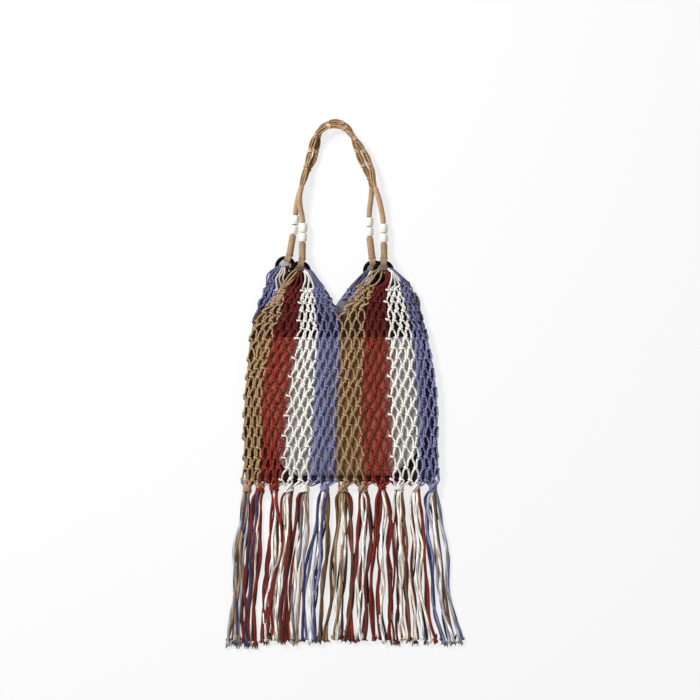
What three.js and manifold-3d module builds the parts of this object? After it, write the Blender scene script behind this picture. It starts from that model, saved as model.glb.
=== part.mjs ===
// Knotted net shoulder bag with beaded cord handles and a long fringe, lying on its back.
// Millimetres. +X is to the right of a viewer who looks down on the front, +Y runs from the
// fringe to the handles, +Z is up. The origin is the middle of the flat face that it rests on.
import * as THREE from 'three';
import { mergeVertices } from 'three/addons/utils/BufferGeometryUtils.js';
import Module from 'manifold-3d';

const wasm = await Module();
wasm.setup();

// ---- driving dimensions ----
const CLEARANCE = 0.3;            // gap between neighbouring pieces
const WELD = 0.01;                // solids that are joined overlap by this much
const MERGE_TOLERANCE = 1e-4;
const NET_WALL = 3;               // one layer of knotted 3 mm cord
const LINING_THICKNESS = 1.2;
const LINING_ROOF_GAP = 0.5;      // from the front lining up to the net above it
const SEAM_HEIGHT = 7.5;          // where the front and the back net meet along the sides
const LEFT_SEAM_TOP = 67.7;       // the side seams end here, and the net opens above them
const RIGHT_SEAM_TOP = 105.6;

const RING_RADIUS = 14;           // to the middle of the ring's wire
const RING_WIRE = 3.5;
const RING_FACETS = { section: 8, round: 24 };
const BACK_RING_HEIGHT = 6.8;
const FRONT_RING_HEIGHT = 19.5;
const HITCH = { width: 11.5, length: 12, height: 6.3, drop: 6.5, round: 10, rise: 6 };

const BEAD_RADIUS = 7.25;
const BEAD_SHOULDER_RADIUS = 6.85;
const BEAD_SHOULDER = 4;          // from the middle of the bead to its shoulders
const BEAD_END_RADIUS = 5.6;
const BEAD_LENGTH = 15.4;
const BEAD_SIDES = 10;
const BEAD_PITCH = 16.2;

const HANDLE_WRAP_RADIUS = 5.3;   // whipped part between ring and beads
const HANDLE_NECK_RADIUS = 3.4;   // where it runs through the beads
const HANDLE_GRIP_RADIUS = 4.2;   // whipped part above the beads
const HANDLE_TIE_RADIUS = 3;      // at the small ties of the open part
const HANDLE_SWELL = 1.5;         // how far the open strands bulge between two ties
const HANDLE_GRIP_LENGTH = 50;
const HANDLE_TIE_PITCH = 34;
const HANDLE_SIDES = 8;
const HANDLE_STEP = 9;
const HANDLE_STEP_DOWN = 0.8;     // the whipping ends this short of a bead
const HANDLE_TIP = { length: 0.9, radius: 3.445 };
const HANDLE_ROUNDING = 3;        // the whipping is full from here on
const ROUTE_DIVISIONS = 800;

const FRINGE_KNOT = { width: 9.5, length: 8.5, height: 7, round: 8, rise: 5 };
const FRINGE_KNOT_Y = -187.5;
const FRINGE_BAND = { top: -177.4, bottom: -184, low: 1.5, high: 10.5, left: -161, right: 165 };
// A tassel starts inside its knot, widens below it, and narrows and thins to its tip.
const TASSEL = {
  gap: 2.4,
  sides: 6,
  rootAbove: 2,                   // its top end, above the middle of the knot
  rootWidth: 13,
  neckWidth: 17,
  neckInset: 1.5,
  bodyEnd: 12,                    // below half-way from the lower level to the tip
  tipStart: 9,
  tipInset: 0.2,
  tipThinning: 0.8,
};

const RINGS = [
  { name: 'ring_back_left', x: -89.4, y: 180.7, z: BACK_RING_HEIGHT },
  { name: 'ring_back_right', x: 56.1, y: 174.1, z: BACK_RING_HEIGHT },
  { name: 'ring_front_left', x: -64.4, y: 172.4, z: FRONT_RING_HEIGHT },
  { name: 'ring_front_right', x: 72.3, y: 173.3, z: FRONT_RING_HEIGHT },
];

// Width of the sack at each level, from the top down. full scales its height above the floor.
const SACK_SECTIONS = [
  { y: 192, left: -98, right: 86, full: 1 },
  { y: 175, left: -113, right: 93, full: 1 },
  { y: 166, left: -120.5, right: 101.5, full: 1 },
  { y: 150, left: -124.6, right: 118, full: 1 },
  { y: 134, left: -130.4, right: 128.7, full: 1 },
  { y: 117, left: -137, right: 133.7, full: 1 },
  { y: 92, left: -145.2, right: 139.4, full: 1 },
  { y: 68, left: -150.2, right: 148.5, full: 1 },
  { y: 43, left: -152.6, right: 152.6, full: 1 },
  { y: 10, left: -155, right: 158.4, full: 1 },
  { y: -23, left: -159.2, right: 164.2, full: 1 },
  { y: -56, left: -160.9, right: 165.8, full: 1 },
  { y: -89, left: -161.7, right: 165.8, full: 1 },
  { y: -122, left: -160, right: 165.8, full: 1 },
  { y: -150, left: -160.9, right: 166.6, full: 0.97 },
  { y: -163, left: -162.5, right: 167.5, full: 0.84 },
  { y: -171, left: -163.5, right: 168, full: 0.7 },
  { y: -177, left: -163.5, right: 168, full: 0.5 },
];
// The hollow inside runs out past the net's top and closes above its gathered bottom.
const CAVITY = { bottom: -172, bottomFull: 0.38, lastGap: 4, overshoot: 8, gatherWall: 0.12 };

// Half of the sack's cross-section, from beside its crown round to its floor. inset is measured
// from the side of the section.
const SACK_PROFILE = [
  { inset: 70, z: 21.4 },
  { inset: 32, z: 19.2 },
  { inset: 14, z: 16 },
  { inset: 5, z: 12.8 },
  { inset: 1.5, z: 10 },
  { inset: 0, z: 6 },
  { inset: 1.5, z: 2.2 },
  { inset: 5, z: 0 },
  { inset: 60, z: 0 },
];
const SACK_CROWN = 22;
const CAVITY_PROFILE = [
  { inset: 71, z: 18.4 },
  { inset: 33.5, z: 16.2 },
  { inset: 16, z: 13.1 },
  { inset: 7.5, z: 10.2 },
  { inset: 4.3, z: 8.6 },
  { inset: 3, z: 6.2 },
  { inset: 4.2, z: 4 },
  { inset: 6.5, z: 3 },
  { inset: 60, z: 3 },
];
const CAVITY_CROWN = 19;

// The V of the mouth, from the left ring down to the notch and up to the right ring.
const NECK_LEFT = [
  { x: -47, y: 173.3 },
  { x: -37, y: 162.5 },
  { x: -27.2, y: 150.2 },
  { x: -15.7, y: 133.7 },
  { x: -5, y: 117.2 },
];
const NECK_RIGHT = [
  { x: 0.8, y: 125.4 },
  { x: 12.4, y: 141.9 },
  { x: 25.6, y: 157.6 },
  { x: 38, y: 168.5 },
];
// The front net stays a little below the lining's edge on the right of the V.
const FRONT_NECK_RIGHT = [
  { x: 0, y: 107 },
  { x: 6, y: 105 },
  { x: 17.3, y: 117.2 },
  { x: 23.9, y: 132 },
  { x: 30.5, y: 143.6 },
  { x: 43.7, y: 156.8 },
  { x: 58, y: 171 },
];
// Outer edges of the front net's two straps, from the side seam up to the ring.
const FRONT_SHOULDER_LEFT = [
  { x: -149.7, y: LEFT_SEAM_TOP },
  { x: -134.5, y: 100.7 },
  { x: -118, y: 125.4 },
  { x: -104.8, y: 140.3 },
  { x: -91.6, y: 149.3 },
  { x: -74, y: 169 },
];
const FRONT_SHOULDER_RIGHT = [
  { x: 87, y: 174 },
  { x: 106.4, y: 156.8 },
  { x: 117, y: 143 },
  { x: 121.5, y: 126 },
  { x: 134.5, y: RIGHT_SEAM_TOP },
];
const FRONT_STRAP_LEFT_END = [
  { x: -58, y: 177 },
  { x: -68, y: 175 },
];
const FRONT_STRAP_RIGHT_END = [
  { x: 76, y: 177 },
  { x: 66, y: 177 },
];
const BACK_SHOULDER_LEFT = [
  { x: -130, y: 174 },
  { x: -112, y: 175.5 },
];
const BACK_STRAP_LEFT_END = [
  { x: -84, y: 182 },
  { x: -96, y: 182 },
];
const BACK_STRAP_RIGHT_END = [
  { x: 60, y: 178 },
  { x: 50, y: 178 },
];
// Edges of the back net's straps that the front hides.
const BACK_STRAP_LEFT_INNER = [
  { x: -78, y: 176 },
  { x: -52, y: 155 },
  { x: -27, y: 136 },
];
const BACK_STRAP_RIGHT_OUTER = [
  { x: 69, y: 172 },
  { x: 98, y: 158 },
  { x: 117, y: 143 },
  { x: 131, y: 126 },
];

// The back lining: its sides from the floor up, then the tops of its two points.
const BACK_LINING_LEFT = [
  { x: -146, y: -164 },
  { x: -153, y: -148 },
  { x: -152.5, y: -60 },
  { x: -146, y: 12 },
  { x: -141.5, y: 66 },
  { x: -133, y: 94 },
  { x: -117, y: 119 },
  { x: -99, y: 138 },
  { x: -88, y: 148 },
  { x: -62, y: 158 },
  { x: -41, y: 165 },
];
const BACK_LINING_RIGHT = [
  { x: 20, y: 151 },
  { x: 40, y: 154 },
  { x: 84, y: 154 },
  { x: 110, y: 147 },
  { x: 123, y: 139 },
  { x: 130.5, y: 131 },
  { x: 133.5, y: 121 },
  { x: 132.5, y: 110 },
  { x: 127, y: 101 },
  { x: 138, y: 66 },
  { x: 149.5, y: 12 },
  { x: 157, y: -50 },
  { x: 157, y: -148 },
  { x: 150, y: -164 },
];
const BACK_LINING_FLOOR = NET_WALL + CLEARANCE;

// How far the outlines that cut the net reach past it. lap is how much further down they
// meet its sides.
const BEYOND = { side: 180, bottom: -190, length: 40, low: -1, high: 40, lap: 8 };

// The front lining panel, from its bottom edge up to its straight hem.
const FRONT_LINING_SECTIONS = [
  { y: -164, left: -70, right: 82 },
  { y: -160, left: -82, right: 93 },
  { y: -150, left: -93, right: 103 },
  { y: -137, left: -102, right: 117 },
  { y: -123, left: -114, right: 132 },
  { y: -105, left: -128, right: 140 },
  { y: -80, left: -139, right: 142 },
  { y: -30, left: -143, right: 142 },
  { y: 20, left: -141.5, right: 141 },
  { y: 64.4, left: -138, right: 136 },
];
const FRONT_LINING_COLUMNS = 12;

// Centre lines of the handles, from the left ring over the top to the right ring.
const FRONT_HANDLE_ROUTE = [
  [-62, 181, 19.5],
  [-61.7, 188, 18.6],
  [-61.4, 200, 14],
  [-61.2, 215, 9.3],
  [-60.6, 229, 7.9],
  [-60, 245, 7.8],
  [-62, 264, 8.6],
  [-65.2, 281, 12],
  [-65.8, 297, 14.2],
  [-63.2, 311, 14.3],
  [-60, 325, 14.2],
  [-56.4, 340, 13],
  [-52.2, 356, 10.4],
  [-48, 373, 10.4],
  [-43, 388, 13],
  [-36.5, 399.5, 14.6],
  [-28, 407, 14.4],
  [-17, 411.8, 13.2],
  [-4, 412.2, 12.8],
  [8, 408, 13.4],
  [18, 399.5, 14.6],
  [28, 388, 14],
  [39, 372.5, 11.6],
  [47, 356.5, 10.8],
  [53, 340, 13],
  [55.5, 323, 14.4],
  [60, 307, 13.6],
  [65.3, 291, 11.4],
  [69.4, 273, 9],
  [71.8, 258, 8],
  [72.8, 242.5, 7.8],
  [73.2, 226, 7.9],
  [73.3, 212, 9.6],
  [73.4, 199, 14],
  [73, 189, 18.4],
  [72.8, 182, 19.5],
];
const BACK_HANDLE_ROUTE = [
  [-84.5, 187.5, 6.8],
  [-83.5, 193, 6.7],
  [-81.6, 205, 6.6],
  [-79.4, 218, 7.2],
  [-77.8, 228, 7.6],
  [-76.1, 238.5, 7.7],
  [-73.9, 255, 7.7],
  [-72.6, 269, 6.4],
  [-70.3, 286, 5],
  [-66.3, 302, 4.8],
  [-60, 320, 4.8],
  [-53, 337, 4.8],
  [-45.8, 350, 4.8],
  [-40.2, 363, 4.8],
  [-37.5, 378, 4.8],
  [-35.7, 391, 4.8],
  [-32.5, 404, 4.8],
  [-24, 414, 4.8],
  [-12, 419.2, 4.8],
  [1, 419, 4.8],
  [12, 412.5, 4.8],
  [20.5, 400, 4.8],
  [26.5, 385, 4.8],
  [32, 370, 4.8],
  [38.8, 354, 4.8],
  [45.5, 338.5, 4.8],
  [50.5, 323.5, 4.8],
  [53, 310, 4.8],
  [52.3, 298, 4.8],
  [51, 286, 5],
  [49.4, 274, 6.2],
  [48.9, 263, 7.3],
  [49, 251.8, 7.7],
  [49.4, 236, 7.7],
  [50.4, 223, 7.4],
  [52.2, 208, 6.8],
  [54, 193, 6.7],
  [54.8, 182.5, 6.8],
];
// Where the lower bead of each pair sits along the route, measured from its own end.
const HANDLES = [
  { name: 'handle_front', route: FRONT_HANDLE_ROUTE, startBead: 49.5, endBead: 47.5 },
  { name: 'handle_back', route: BACK_HANDLE_ROUTE, startBead: 54.5, endBead: 55.5 },
];

// Each tassel's middle at the knot, at two levels below it and at its tip.
const TASSEL_LEVELS = { upper: -286, lower: -345 };
const TASSELS = [
  { knot: -152.6, upper: -164.5, lower: -168, tip: -174, end: -447 },
  { knot: -131.2, upper: -141, lower: -146.5, tip: -150, end: -448 },
  { knot: -108.1, upper: -115, lower: -121, tip: -124.5, end: -444 },
  { knot: -83, upper: -90, lower: -99, tip: -101, end: -437 },
  { knot: -56.9, upper: -65, lower: -75.5, tip: -76, end: -443 },
  { knot: -24.5, upper: -34, lower: -42.5, tip: -44, end: -440 },
  { knot: 5.8, upper: 4, lower: -1, tip: -8, end: -435 },
  { knot: 38.8, upper: 38, lower: 32.5, tip: 29, end: -438 },
  { knot: 70.1, upper: 70, lower: 66.5, tip: 68, end: -440 },
  { knot: 98.2, upper: 99.5, lower: 99, tip: 102, end: -447 },
  { knot: 126.2, upper: 131, lower: 132, tip: 143, end: -449 },
  { knot: 154.3, upper: 164, lower: 167, tip: 187, end: -440 },
];
const OUTER_TASSEL_HALF = 14;     // half-width of the two end tassels on their free side
const TASSEL_HEIGHTS = { knot: 10, body: 7, tip: 4.5 };

// ---- materials ----
const finish = (color, roughness, metalness = 0) =>
  new THREE.MeshStandardMaterial({ color, roughness, metalness });
const MATERIALS = {
  net: finish(0x8f8690, 0.9),
  backLining: finish(0x1c1c20, 0.95),
  frontLining: finish(0x77777b, 0.95),
  ring: finish(0x0c0c0d, 0.35),
  cord: finish(0xb08a66, 0.85),
  bead: finish(0xefede2, 0.3),
  fringe: finish(0x9a8f90, 0.9),
};

// ---- helpers ----
function toSolid(geometry) {
  const bare = geometry.clone();
  bare.deleteAttribute('normal');
  bare.deleteAttribute('uv');
  const merged = mergeVertices(bare, MERGE_TOLERANCE);
  return new wasm.Manifold(new wasm.Mesh({
    numProp: 3,
    vertProperties: new Float32Array(merged.attributes.position.array),
    triVerts: new Uint32Array(merged.index.array),
  }));
}

function toGeometry(solid) {
  const mesh = solid.getMesh();
  const geometry = new THREE.BufferGeometry();
  geometry.setAttribute('position', new THREE.BufferAttribute(mesh.vertProperties, 3));
  geometry.setIndex(new THREE.BufferAttribute(mesh.triVerts, 1));
  return geometry;
}

// A flat outline of {x, y} points, standing from one height to another.
function prism(outline, low, high) {
  const shape = new THREE.Shape(outline.map(({ x, y }) => new THREE.Vector2(x, y)));
  const geometry = new THREE.ExtrudeGeometry(shape, { depth: high - low, bevelEnabled: false });
  return geometry.translate(0, 0, low);
}

// Moves every point of a geometry to place(x, y, z).
function reshape(geometry, place) {
  const position = geometry.attributes.position;
  for (let i = 0; i < position.count; i++) {
    const point = place(position.getX(i), position.getY(i), position.getZ(i));
    position.setXYZ(i, point.x, point.y, point.z);
  }
  return geometry;
}

// A closed loft along +Y from a cylinder's grid. point(row, step) gives the skin and
// middle(row) the middle of an end cap; row 0 is the +Y end, step 0 is the top of a section.
function loft(rows, sides, point, middle) {
  const grid = new THREE.CylinderGeometry(1, 1, 1, sides, rows - 1);
  return reshape(grid, (x, y, z) => {
    const row = Math.round((0.5 - y) * (rows - 1));
    if (Math.hypot(x, z) < 0.5) return middle(row);
    const turn = Math.atan2(x, z) / (2 * Math.PI);
    return point(row, (Math.round(turn * sides) + sides) % sides);
  });
}

function interpolate(table, key, at, column) {
  const rising = table[0][key] < table[table.length - 1][key];
  const rows = rising ? table : [...table].reverse();
  let i = 1;
  while (i < rows.length - 1 && rows[i][key] < at) i++;
  const [a, b] = [rows[i - 1], rows[i]];
  const t = THREE.MathUtils.clamp((at - a[key]) / (b[key] - a[key]), 0, 1);
  return THREE.MathUtils.lerp(a[column], b[column], t);
}

// ---- net ----
// One closed loft with the given half profile; floor is the height that stays put when a
// section is less than full.
function sackLoft(sections, profile, crown, floor) {
  const half = profile.length;
  const sides = 2 * half + 2;
  const lift = (section, z) => floor + (z - floor) * section.full;
  const middleX = (section) => (section.left + section.right) / 2;
  const skin = (row, step) => {
    const section = sections[row];
    const onRight = step <= half;
    const index = onRight ? step - 1 : sides - step - 1;
    if (step === 0) return new THREE.Vector3(middleX(section), section.y, lift(section, crown));
    if (step === half + 1) return new THREE.Vector3(middleX(section), section.y, floor);
    const { inset, z } = profile[index];
    const x = onRight ? section.right - inset : section.left + inset;
    return new THREE.Vector3(x, section.y, lift(section, z));
  };
  const middle = (row) => {
    const section = sections[row];
    return new THREE.Vector3(middleX(section), section.y, lift(section, crown / 2));
  };
  return loft(sections.length, sides, skin, middle);
}

function cavitySections() {
  const kept = SACK_SECTIONS.filter(({ y }) => y > CAVITY.bottom + CAVITY.lastGap);
  const top = { ...kept[0], y: kept[0].y + CAVITY.overshoot };
  const last = SACK_SECTIONS[SACK_SECTIONS.length - 1];
  const narrowed = kept.slice(1).map((section) => (
    section.full < 1 ? { ...section, full: section.full - CAVITY.gatherWall } : section
  ));
  const bottom = { ...last, y: CAVITY.bottom, full: CAVITY.bottomFull };
  return [top, kept[0], ...narrowed, bottom];
}

// A box outline that reaches past both sides of the net.
function beyond(bottom, top) {
  return [
    { x: -BEYOND.side, y: bottom },
    { x: BEYOND.side, y: bottom },
    { x: BEYOND.side, y: top },
    { x: -BEYOND.side, y: top },
  ];
}

function faceOutline(rightSide, rightEnd, neck, leftEnd, leftSide) {
  const rightEdge = { x: BEYOND.side, y: rightSide[rightSide.length - 1].y - BEYOND.lap };
  const leftEdge = { x: -BEYOND.side, y: leftSide[0].y - BEYOND.lap };
  return [
    ...beyond(BEYOND.bottom, 0).slice(0, 2),
    rightEdge,
    ...[...rightSide].reverse(),
    ...rightEnd,
    ...neck,
    ...leftEnd,
    ...[...leftSide].reverse(),
    leftEdge,
  ];
}
const backOutline = faceOutline(
  BACK_STRAP_RIGHT_OUTER,
  BACK_STRAP_RIGHT_END,
  [...[...NECK_RIGHT].reverse(), NECK_LEFT[NECK_LEFT.length - 1]],
  [...[...BACK_STRAP_LEFT_INNER].reverse(), ...BACK_STRAP_LEFT_END],
  BACK_SHOULDER_LEFT,
);
const frontOutline = faceOutline(
  FRONT_SHOULDER_RIGHT,
  FRONT_STRAP_RIGHT_END,
  [...[...FRONT_NECK_RIGHT].reverse(), ...[...NECK_LEFT].reverse()],
  FRONT_STRAP_LEFT_END,
  FRONT_SHOULDER_LEFT,
);
const seamOutline = [
  ...beyond(BEYOND.bottom, RIGHT_SEAM_TOP).slice(0, 3),
  { x: 0, y: RIGHT_SEAM_TOP },
  { x: 0, y: LEFT_SEAM_TOP },
  { x: -BEYOND.side, y: LEFT_SEAM_TOP },
];

function ringGeometry({ x, y, z }, extra = 0) {
  const { section, round } = RING_FACETS;
  return new THREE.TorusGeometry(RING_RADIUS, RING_WIRE + extra, section, round)
    .translate(x, y, z);
}

// The cords of a strap, hitched round the lower half of its ring.
function hitches({ x, y, z }) {
  return new THREE.SphereGeometry(1, HITCH.round, HITCH.rise)
    .rotateX(Math.PI / 2)
    .scale(HITCH.width, HITCH.length, HITCH.height)
    .translate(x, y - HITCH.drop, z);
}

function netBody() {
  const sack = toSolid(sackLoft(SACK_SECTIONS, SACK_PROFILE, SACK_CROWN, 0));
  const cavity = toSolid(sackLoft(cavitySections(), CAVITY_PROFILE, CAVITY_CROWN, NET_WALL));
  const wall = sack.subtract(cavity);
  const slab = (outline, low, high) => wall.intersect(toSolid(prism(outline, low, high)));
  const front = slab(frontOutline, SEAM_HEIGHT, BEYOND.high);
  const back = slab(backOutline, BEYOND.low, NET_WALL);
  const seams = slab(seamOutline, BEYOND.low, SEAM_HEIGHT + WELD);
  let net = back.add(seams).add(front);
  for (const ring of RINGS) net = net.add(toSolid(hitches(ring)));
  for (const ring of RINGS) net = net.subtract(toSolid(ringGeometry(ring, CLEARANCE)));
  return net;
}

// ---- linings ----
function backLining() {
  const outline = [
    ...BACK_LINING_LEFT,
    ...NECK_LEFT.slice(1),
    ...NECK_RIGHT.slice(0, 2),
    ...BACK_LINING_RIGHT,
  ].reverse();
  return prism(outline, BACK_LINING_FLOOR, BACK_LINING_FLOOR + LINING_THICKNESS);
}

// Height of the cavity's roof, the underside of the front net.
function cavityRoof(x, y) {
  const left = interpolate(SACK_SECTIONS, 'y', y, 'left');
  const right = interpolate(SACK_SECTIONS, 'y', y, 'right');
  const full = interpolate(cavitySections(), 'y', y, 'full');
  const roof = CAVITY_PROFILE.slice(0, 6);
  const side = Math.min(x - left, right - x);
  const half = (right - left) / 2;
  const crown = { inset: half, z: CAVITY_CROWN };
  const z = interpolate([crown, ...roof], 'inset', Math.min(side, half), 'z');
  return NET_WALL + (z - NET_WALL) * full;
}

function frontLining() {
  const rows = FRONT_LINING_SECTIONS.length - 1;
  const grid = new THREE.BoxGeometry(1, 1, 1, FRONT_LINING_COLUMNS, rows, 1);
  return reshape(grid, (across, along, up) => {
    const { y, left, right } = FRONT_LINING_SECTIONS[Math.round((along + 0.5) * rows)];
    const x = THREE.MathUtils.lerp(left, right, across + 0.5);
    const top = cavityRoof(x, y) - LINING_ROOF_GAP;
    return new THREE.Vector3(x, y, up > 0 ? top : top - LINING_THICKNESS);
  });
}

// ---- handles and beads ----
function frameAt(curve, distance, length) {
  const u = THREE.MathUtils.clamp(distance / length, 0, 1);
  const centre = curve.getPointAt(u);
  const along = curve.getTangentAt(u);
  const side = new THREE.Vector3(0, 0, 1).cross(along).normalize();
  const up = along.clone().cross(side);
  return { centre, along, side, up };
}

// A lathe profile of {at, radius} stations, turned about the route.
function bendAlong(curve, stations, sides) {
  const length = curve.getLength();
  const profile = stations.map(({ at, radius }) => new THREE.Vector2(radius, at));
  const turned = new THREE.LatheGeometry(profile, sides);
  return reshape(turned, (x, y, z) => {
    const { centre, side, up } = frameAt(curve, y, length);
    return centre.addScaledVector(side, x).addScaledVector(up, -z);
  });
}

function handleStations(length, { startBead, endBead }) {
  const stations = [];
  const beadHalf = BEAD_LENGTH / 2 + CLEARANCE;
  const add = (at, radius) => stations.push({ at, radius });
  const whipped = (bead) => {
    add(0, 0);
    add(HANDLE_TIP.length, HANDLE_TIP.radius);
    const last = bead - beadHalf - HANDLE_ROUNDING;
    for (let at = HANDLE_ROUNDING; at < last; at += HANDLE_STEP) add(at, HANDLE_WRAP_RADIUS);
    add(bead - beadHalf - HANDLE_STEP_DOWN, HANDLE_WRAP_RADIUS);
    add(bead - beadHalf, HANDLE_NECK_RADIUS);
    add(bead, HANDLE_NECK_RADIUS);
    add(bead + BEAD_PITCH / 2, HANDLE_NECK_RADIUS);
    add(bead + BEAD_PITCH, HANDLE_NECK_RADIUS);
    add(bead + BEAD_PITCH + beadHalf, HANDLE_NECK_RADIUS);
  };
  whipped(endBead);
  const fromEnd = stations.splice(0).map(({ at, radius }) => ({ at: length - at, radius }));
  whipped(startBead);
  const gripStart = startBead + BEAD_PITCH + beadHalf + HANDLE_STEP_DOWN;
  const gripEnd = length - endBead - BEAD_PITCH - beadHalf - HANDLE_STEP_DOWN;
  const openStart = gripStart + HANDLE_GRIP_LENGTH;
  const openLength = gripEnd - HANDLE_GRIP_LENGTH - openStart;
  const bulges = Math.round(openLength / HANDLE_TIE_PITCH);
  const steps = Math.round((gripEnd - gripStart) / HANDLE_STEP);
  for (let i = 0; i <= steps; i++) {
    const at = THREE.MathUtils.lerp(gripStart, gripEnd, i / steps);
    const open = (at - openStart) / openLength;
    const bulge = Math.abs(Math.sin(open * bulges * Math.PI));
    const loose = open > 0 && open < 1;
    add(at, loose ? HANDLE_TIE_RADIUS + HANDLE_SWELL * bulge : HANDLE_GRIP_RADIUS);
  }
  return [...stations, ...fromEnd.reverse()];
}

function handle({ curve, length, ...handleRow }) {
  let cord = toSolid(bendAlong(curve, handleStations(length, handleRow), HANDLE_SIDES));
  for (const ring of RINGS) cord = cord.subtract(toSolid(ringGeometry(ring, CLEARANCE)));
  return cord;
}

function beadGeometry(curve, distance) {
  const half = BEAD_LENGTH / 2;
  const bore = HANDLE_NECK_RADIUS + 2 * CLEARANCE;
  const profile = [
    [bore, -half],
    [BEAD_END_RADIUS, -half],
    [BEAD_SHOULDER_RADIUS, -BEAD_SHOULDER],
    [BEAD_RADIUS, 0],
    [BEAD_SHOULDER_RADIUS, BEAD_SHOULDER],
    [BEAD_END_RADIUS, half],
    [bore, half],
    [bore, -half],
  ].map(([radius, at]) => new THREE.Vector2(radius, at));
  const { centre, along, side, up } = frameAt(curve, distance, curve.getLength());
  const place = new THREE.Matrix4().makeBasis(side, along, up.negate()).setPosition(centre);
  return new THREE.LatheGeometry(profile, BEAD_SIDES).applyMatrix4(place);
}

// ---- fringe ----
function tasselEdges(index, column) {
  const row = TASSELS[index];
  const before = TASSELS[index - 1];
  const after = TASSELS[index + 1];
  const middle = row[column];
  const left = before ? (before[column] + middle + TASSEL.gap) / 2 : middle - OUTER_TASSEL_HALF;
  const right = after ? (after[column] + middle - TASSEL.gap) / 2 : middle + OUTER_TASSEL_HALF;
  return { left, right };
}

function tassel(index) {
  const { knot, end } = TASSELS[index];
  const around = (width) => ({ left: knot - width / 2, right: knot + width / 2 });
  const neck = around(TASSEL.neckWidth);
  const upper = tasselEdges(index, 'upper');
  const lower = tasselEdges(index, 'lower');
  const foot = tasselEdges(index, 'tip');
  const section = ({ left, right }, y, high, inset = 0) => (
    { y, left: left + inset, right: right - inset, high }
  );
  const between = {
    left: (neck.left + upper.left) / 2 + TASSEL.neckInset,
    right: (neck.right + upper.right) / 2 - TASSEL.neckInset,
  };
  const { body, tip } = TASSEL_HEIGHTS;
  const bodyEnd = (TASSEL_LEVELS.lower + end) / 2 - TASSEL.bodyEnd;
  const tipInset = (foot.right - foot.left) * TASSEL.tipInset;
  const sections = [
    section(around(TASSEL.rootWidth), FRINGE_KNOT_Y + TASSEL.rootAbove, TASSEL_HEIGHTS.knot),
    section(between, (FRINGE_KNOT_Y + TASSEL_LEVELS.upper) / 2, body),
    section(upper, TASSEL_LEVELS.upper, body),
    section(lower, TASSEL_LEVELS.lower, body),
    section(foot, bodyEnd, body),
    section(foot, end + TASSEL.tipStart, tip),
    section(foot, end, tip * TASSEL.tipThinning, tipInset),
  ];
  const skin = (row, step) => {
    const { y, left, right, high } = sections[row];
    const angle = (step / TASSEL.sides) * 2 * Math.PI;
    const x = (left + right) / 2 + (right - left) / 2 * Math.sin(angle);
    const z = step === TASSEL.sides / 2 ? 0 : (high / 2) * (1 + Math.cos(angle));
    return new THREE.Vector3(x, y, z);
  };
  const middle = (row) => {
    const { y, left, right, high } = sections[row];
    return new THREE.Vector3((left + right) / 2, y, high / 2);
  };
  return loft(sections.length, TASSEL.sides, skin, middle);
}

function fringeKnot({ knot }) {
  return new THREE.SphereGeometry(1, FRINGE_KNOT.round, FRINGE_KNOT.rise)
    .rotateX(Math.PI / 2)
    .scale(FRINGE_KNOT.width, FRINGE_KNOT.length, FRINGE_KNOT.height)
    .translate(knot, FRINGE_KNOT_Y, FRINGE_KNOT.height);
}

function fringe() {
  const { top, bottom, low, high, left, right } = FRINGE_BAND;
  const band = new THREE.BoxGeometry(right - left, top - bottom, high - low)
    .translate((left + right) / 2, (top + bottom) / 2, (low + high) / 2);
  let comb = toSolid(band);
  TASSELS.forEach((row, index) => {
    comb = comb.add(toSolid(tassel(index))).add(toSolid(fringeKnot(row)));
  });
  const netSide = prism(beyond(top, top + BEYOND.length), BEYOND.low, BEYOND.high);
  return comb.subtract(toSolid(netSide));
}

// ---- the bag ----
const group = new THREE.Group();
function addPiece(name, geometry, material) {
  const mesh = new THREE.Mesh(geometry, material.clone());
  mesh.name = name;
  group.add(mesh);
}

addPiece('net_body', toGeometry(netBody()), MATERIALS.net);
addPiece('lining_back', backLining(), MATERIALS.backLining);
addPiece('lining_front', frontLining(), MATERIALS.frontLining);
for (const ring of RINGS) addPiece(ring.name, ringGeometry(ring), MATERIALS.ring);
for (const row of HANDLES) {
  const curve = new THREE.CatmullRomCurve3(row.route.map((point) => new THREE.Vector3(...point)));
  curve.arcLengthDivisions = ROUTE_DIVISIONS;
  const length = curve.getLength();
  addPiece(row.name, toGeometry(handle({ ...row, curve, length })), MATERIALS.cord);
  const beads = [
    row.startBead,
    row.startBead + BEAD_PITCH,
    length - row.endBead - BEAD_PITCH,
    length - row.endBead,
  ];
  const side = row.name.replace('handle_', '');
  beads.forEach((distance, index) => {
    addPiece(`bead_${side}_${index + 1}`, beadGeometry(curve, distance), MATERIALS.bead);
  });
}
addPiece('fringe', toGeometry(fringe()), MATERIALS.fringe);

export default group;
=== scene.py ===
"""Knotted net shoulder bag with beaded cord handles and a long fringe, lying on its back.

Lengths in the tables are millimetres. +X is to the right of a viewer who looks down on the
front, +Y runs from the fringe to the handles and +Z is up.
"""

import math
import random
from functools import partial

import bpy
import numpy as np
from mathutils import Matrix, Vector


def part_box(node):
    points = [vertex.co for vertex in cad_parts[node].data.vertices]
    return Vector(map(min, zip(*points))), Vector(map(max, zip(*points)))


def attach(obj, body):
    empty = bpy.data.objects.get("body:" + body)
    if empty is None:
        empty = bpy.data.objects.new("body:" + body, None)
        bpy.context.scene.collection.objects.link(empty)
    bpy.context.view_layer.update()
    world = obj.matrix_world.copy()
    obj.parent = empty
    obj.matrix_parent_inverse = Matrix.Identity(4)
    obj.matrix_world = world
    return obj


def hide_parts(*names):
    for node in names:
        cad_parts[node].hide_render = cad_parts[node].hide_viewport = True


bl_info = {
    "name": "Net Shoulder Bag",
    "version": (1, 0, 0),
    "blender": (4, 5, 0),
    "location": "3D View > Sidebar > Net Bag",
    "description": "Makes a knotted net shoulder bag piece by piece around its packed solids",
    "category": "Add Mesh",
}

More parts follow.
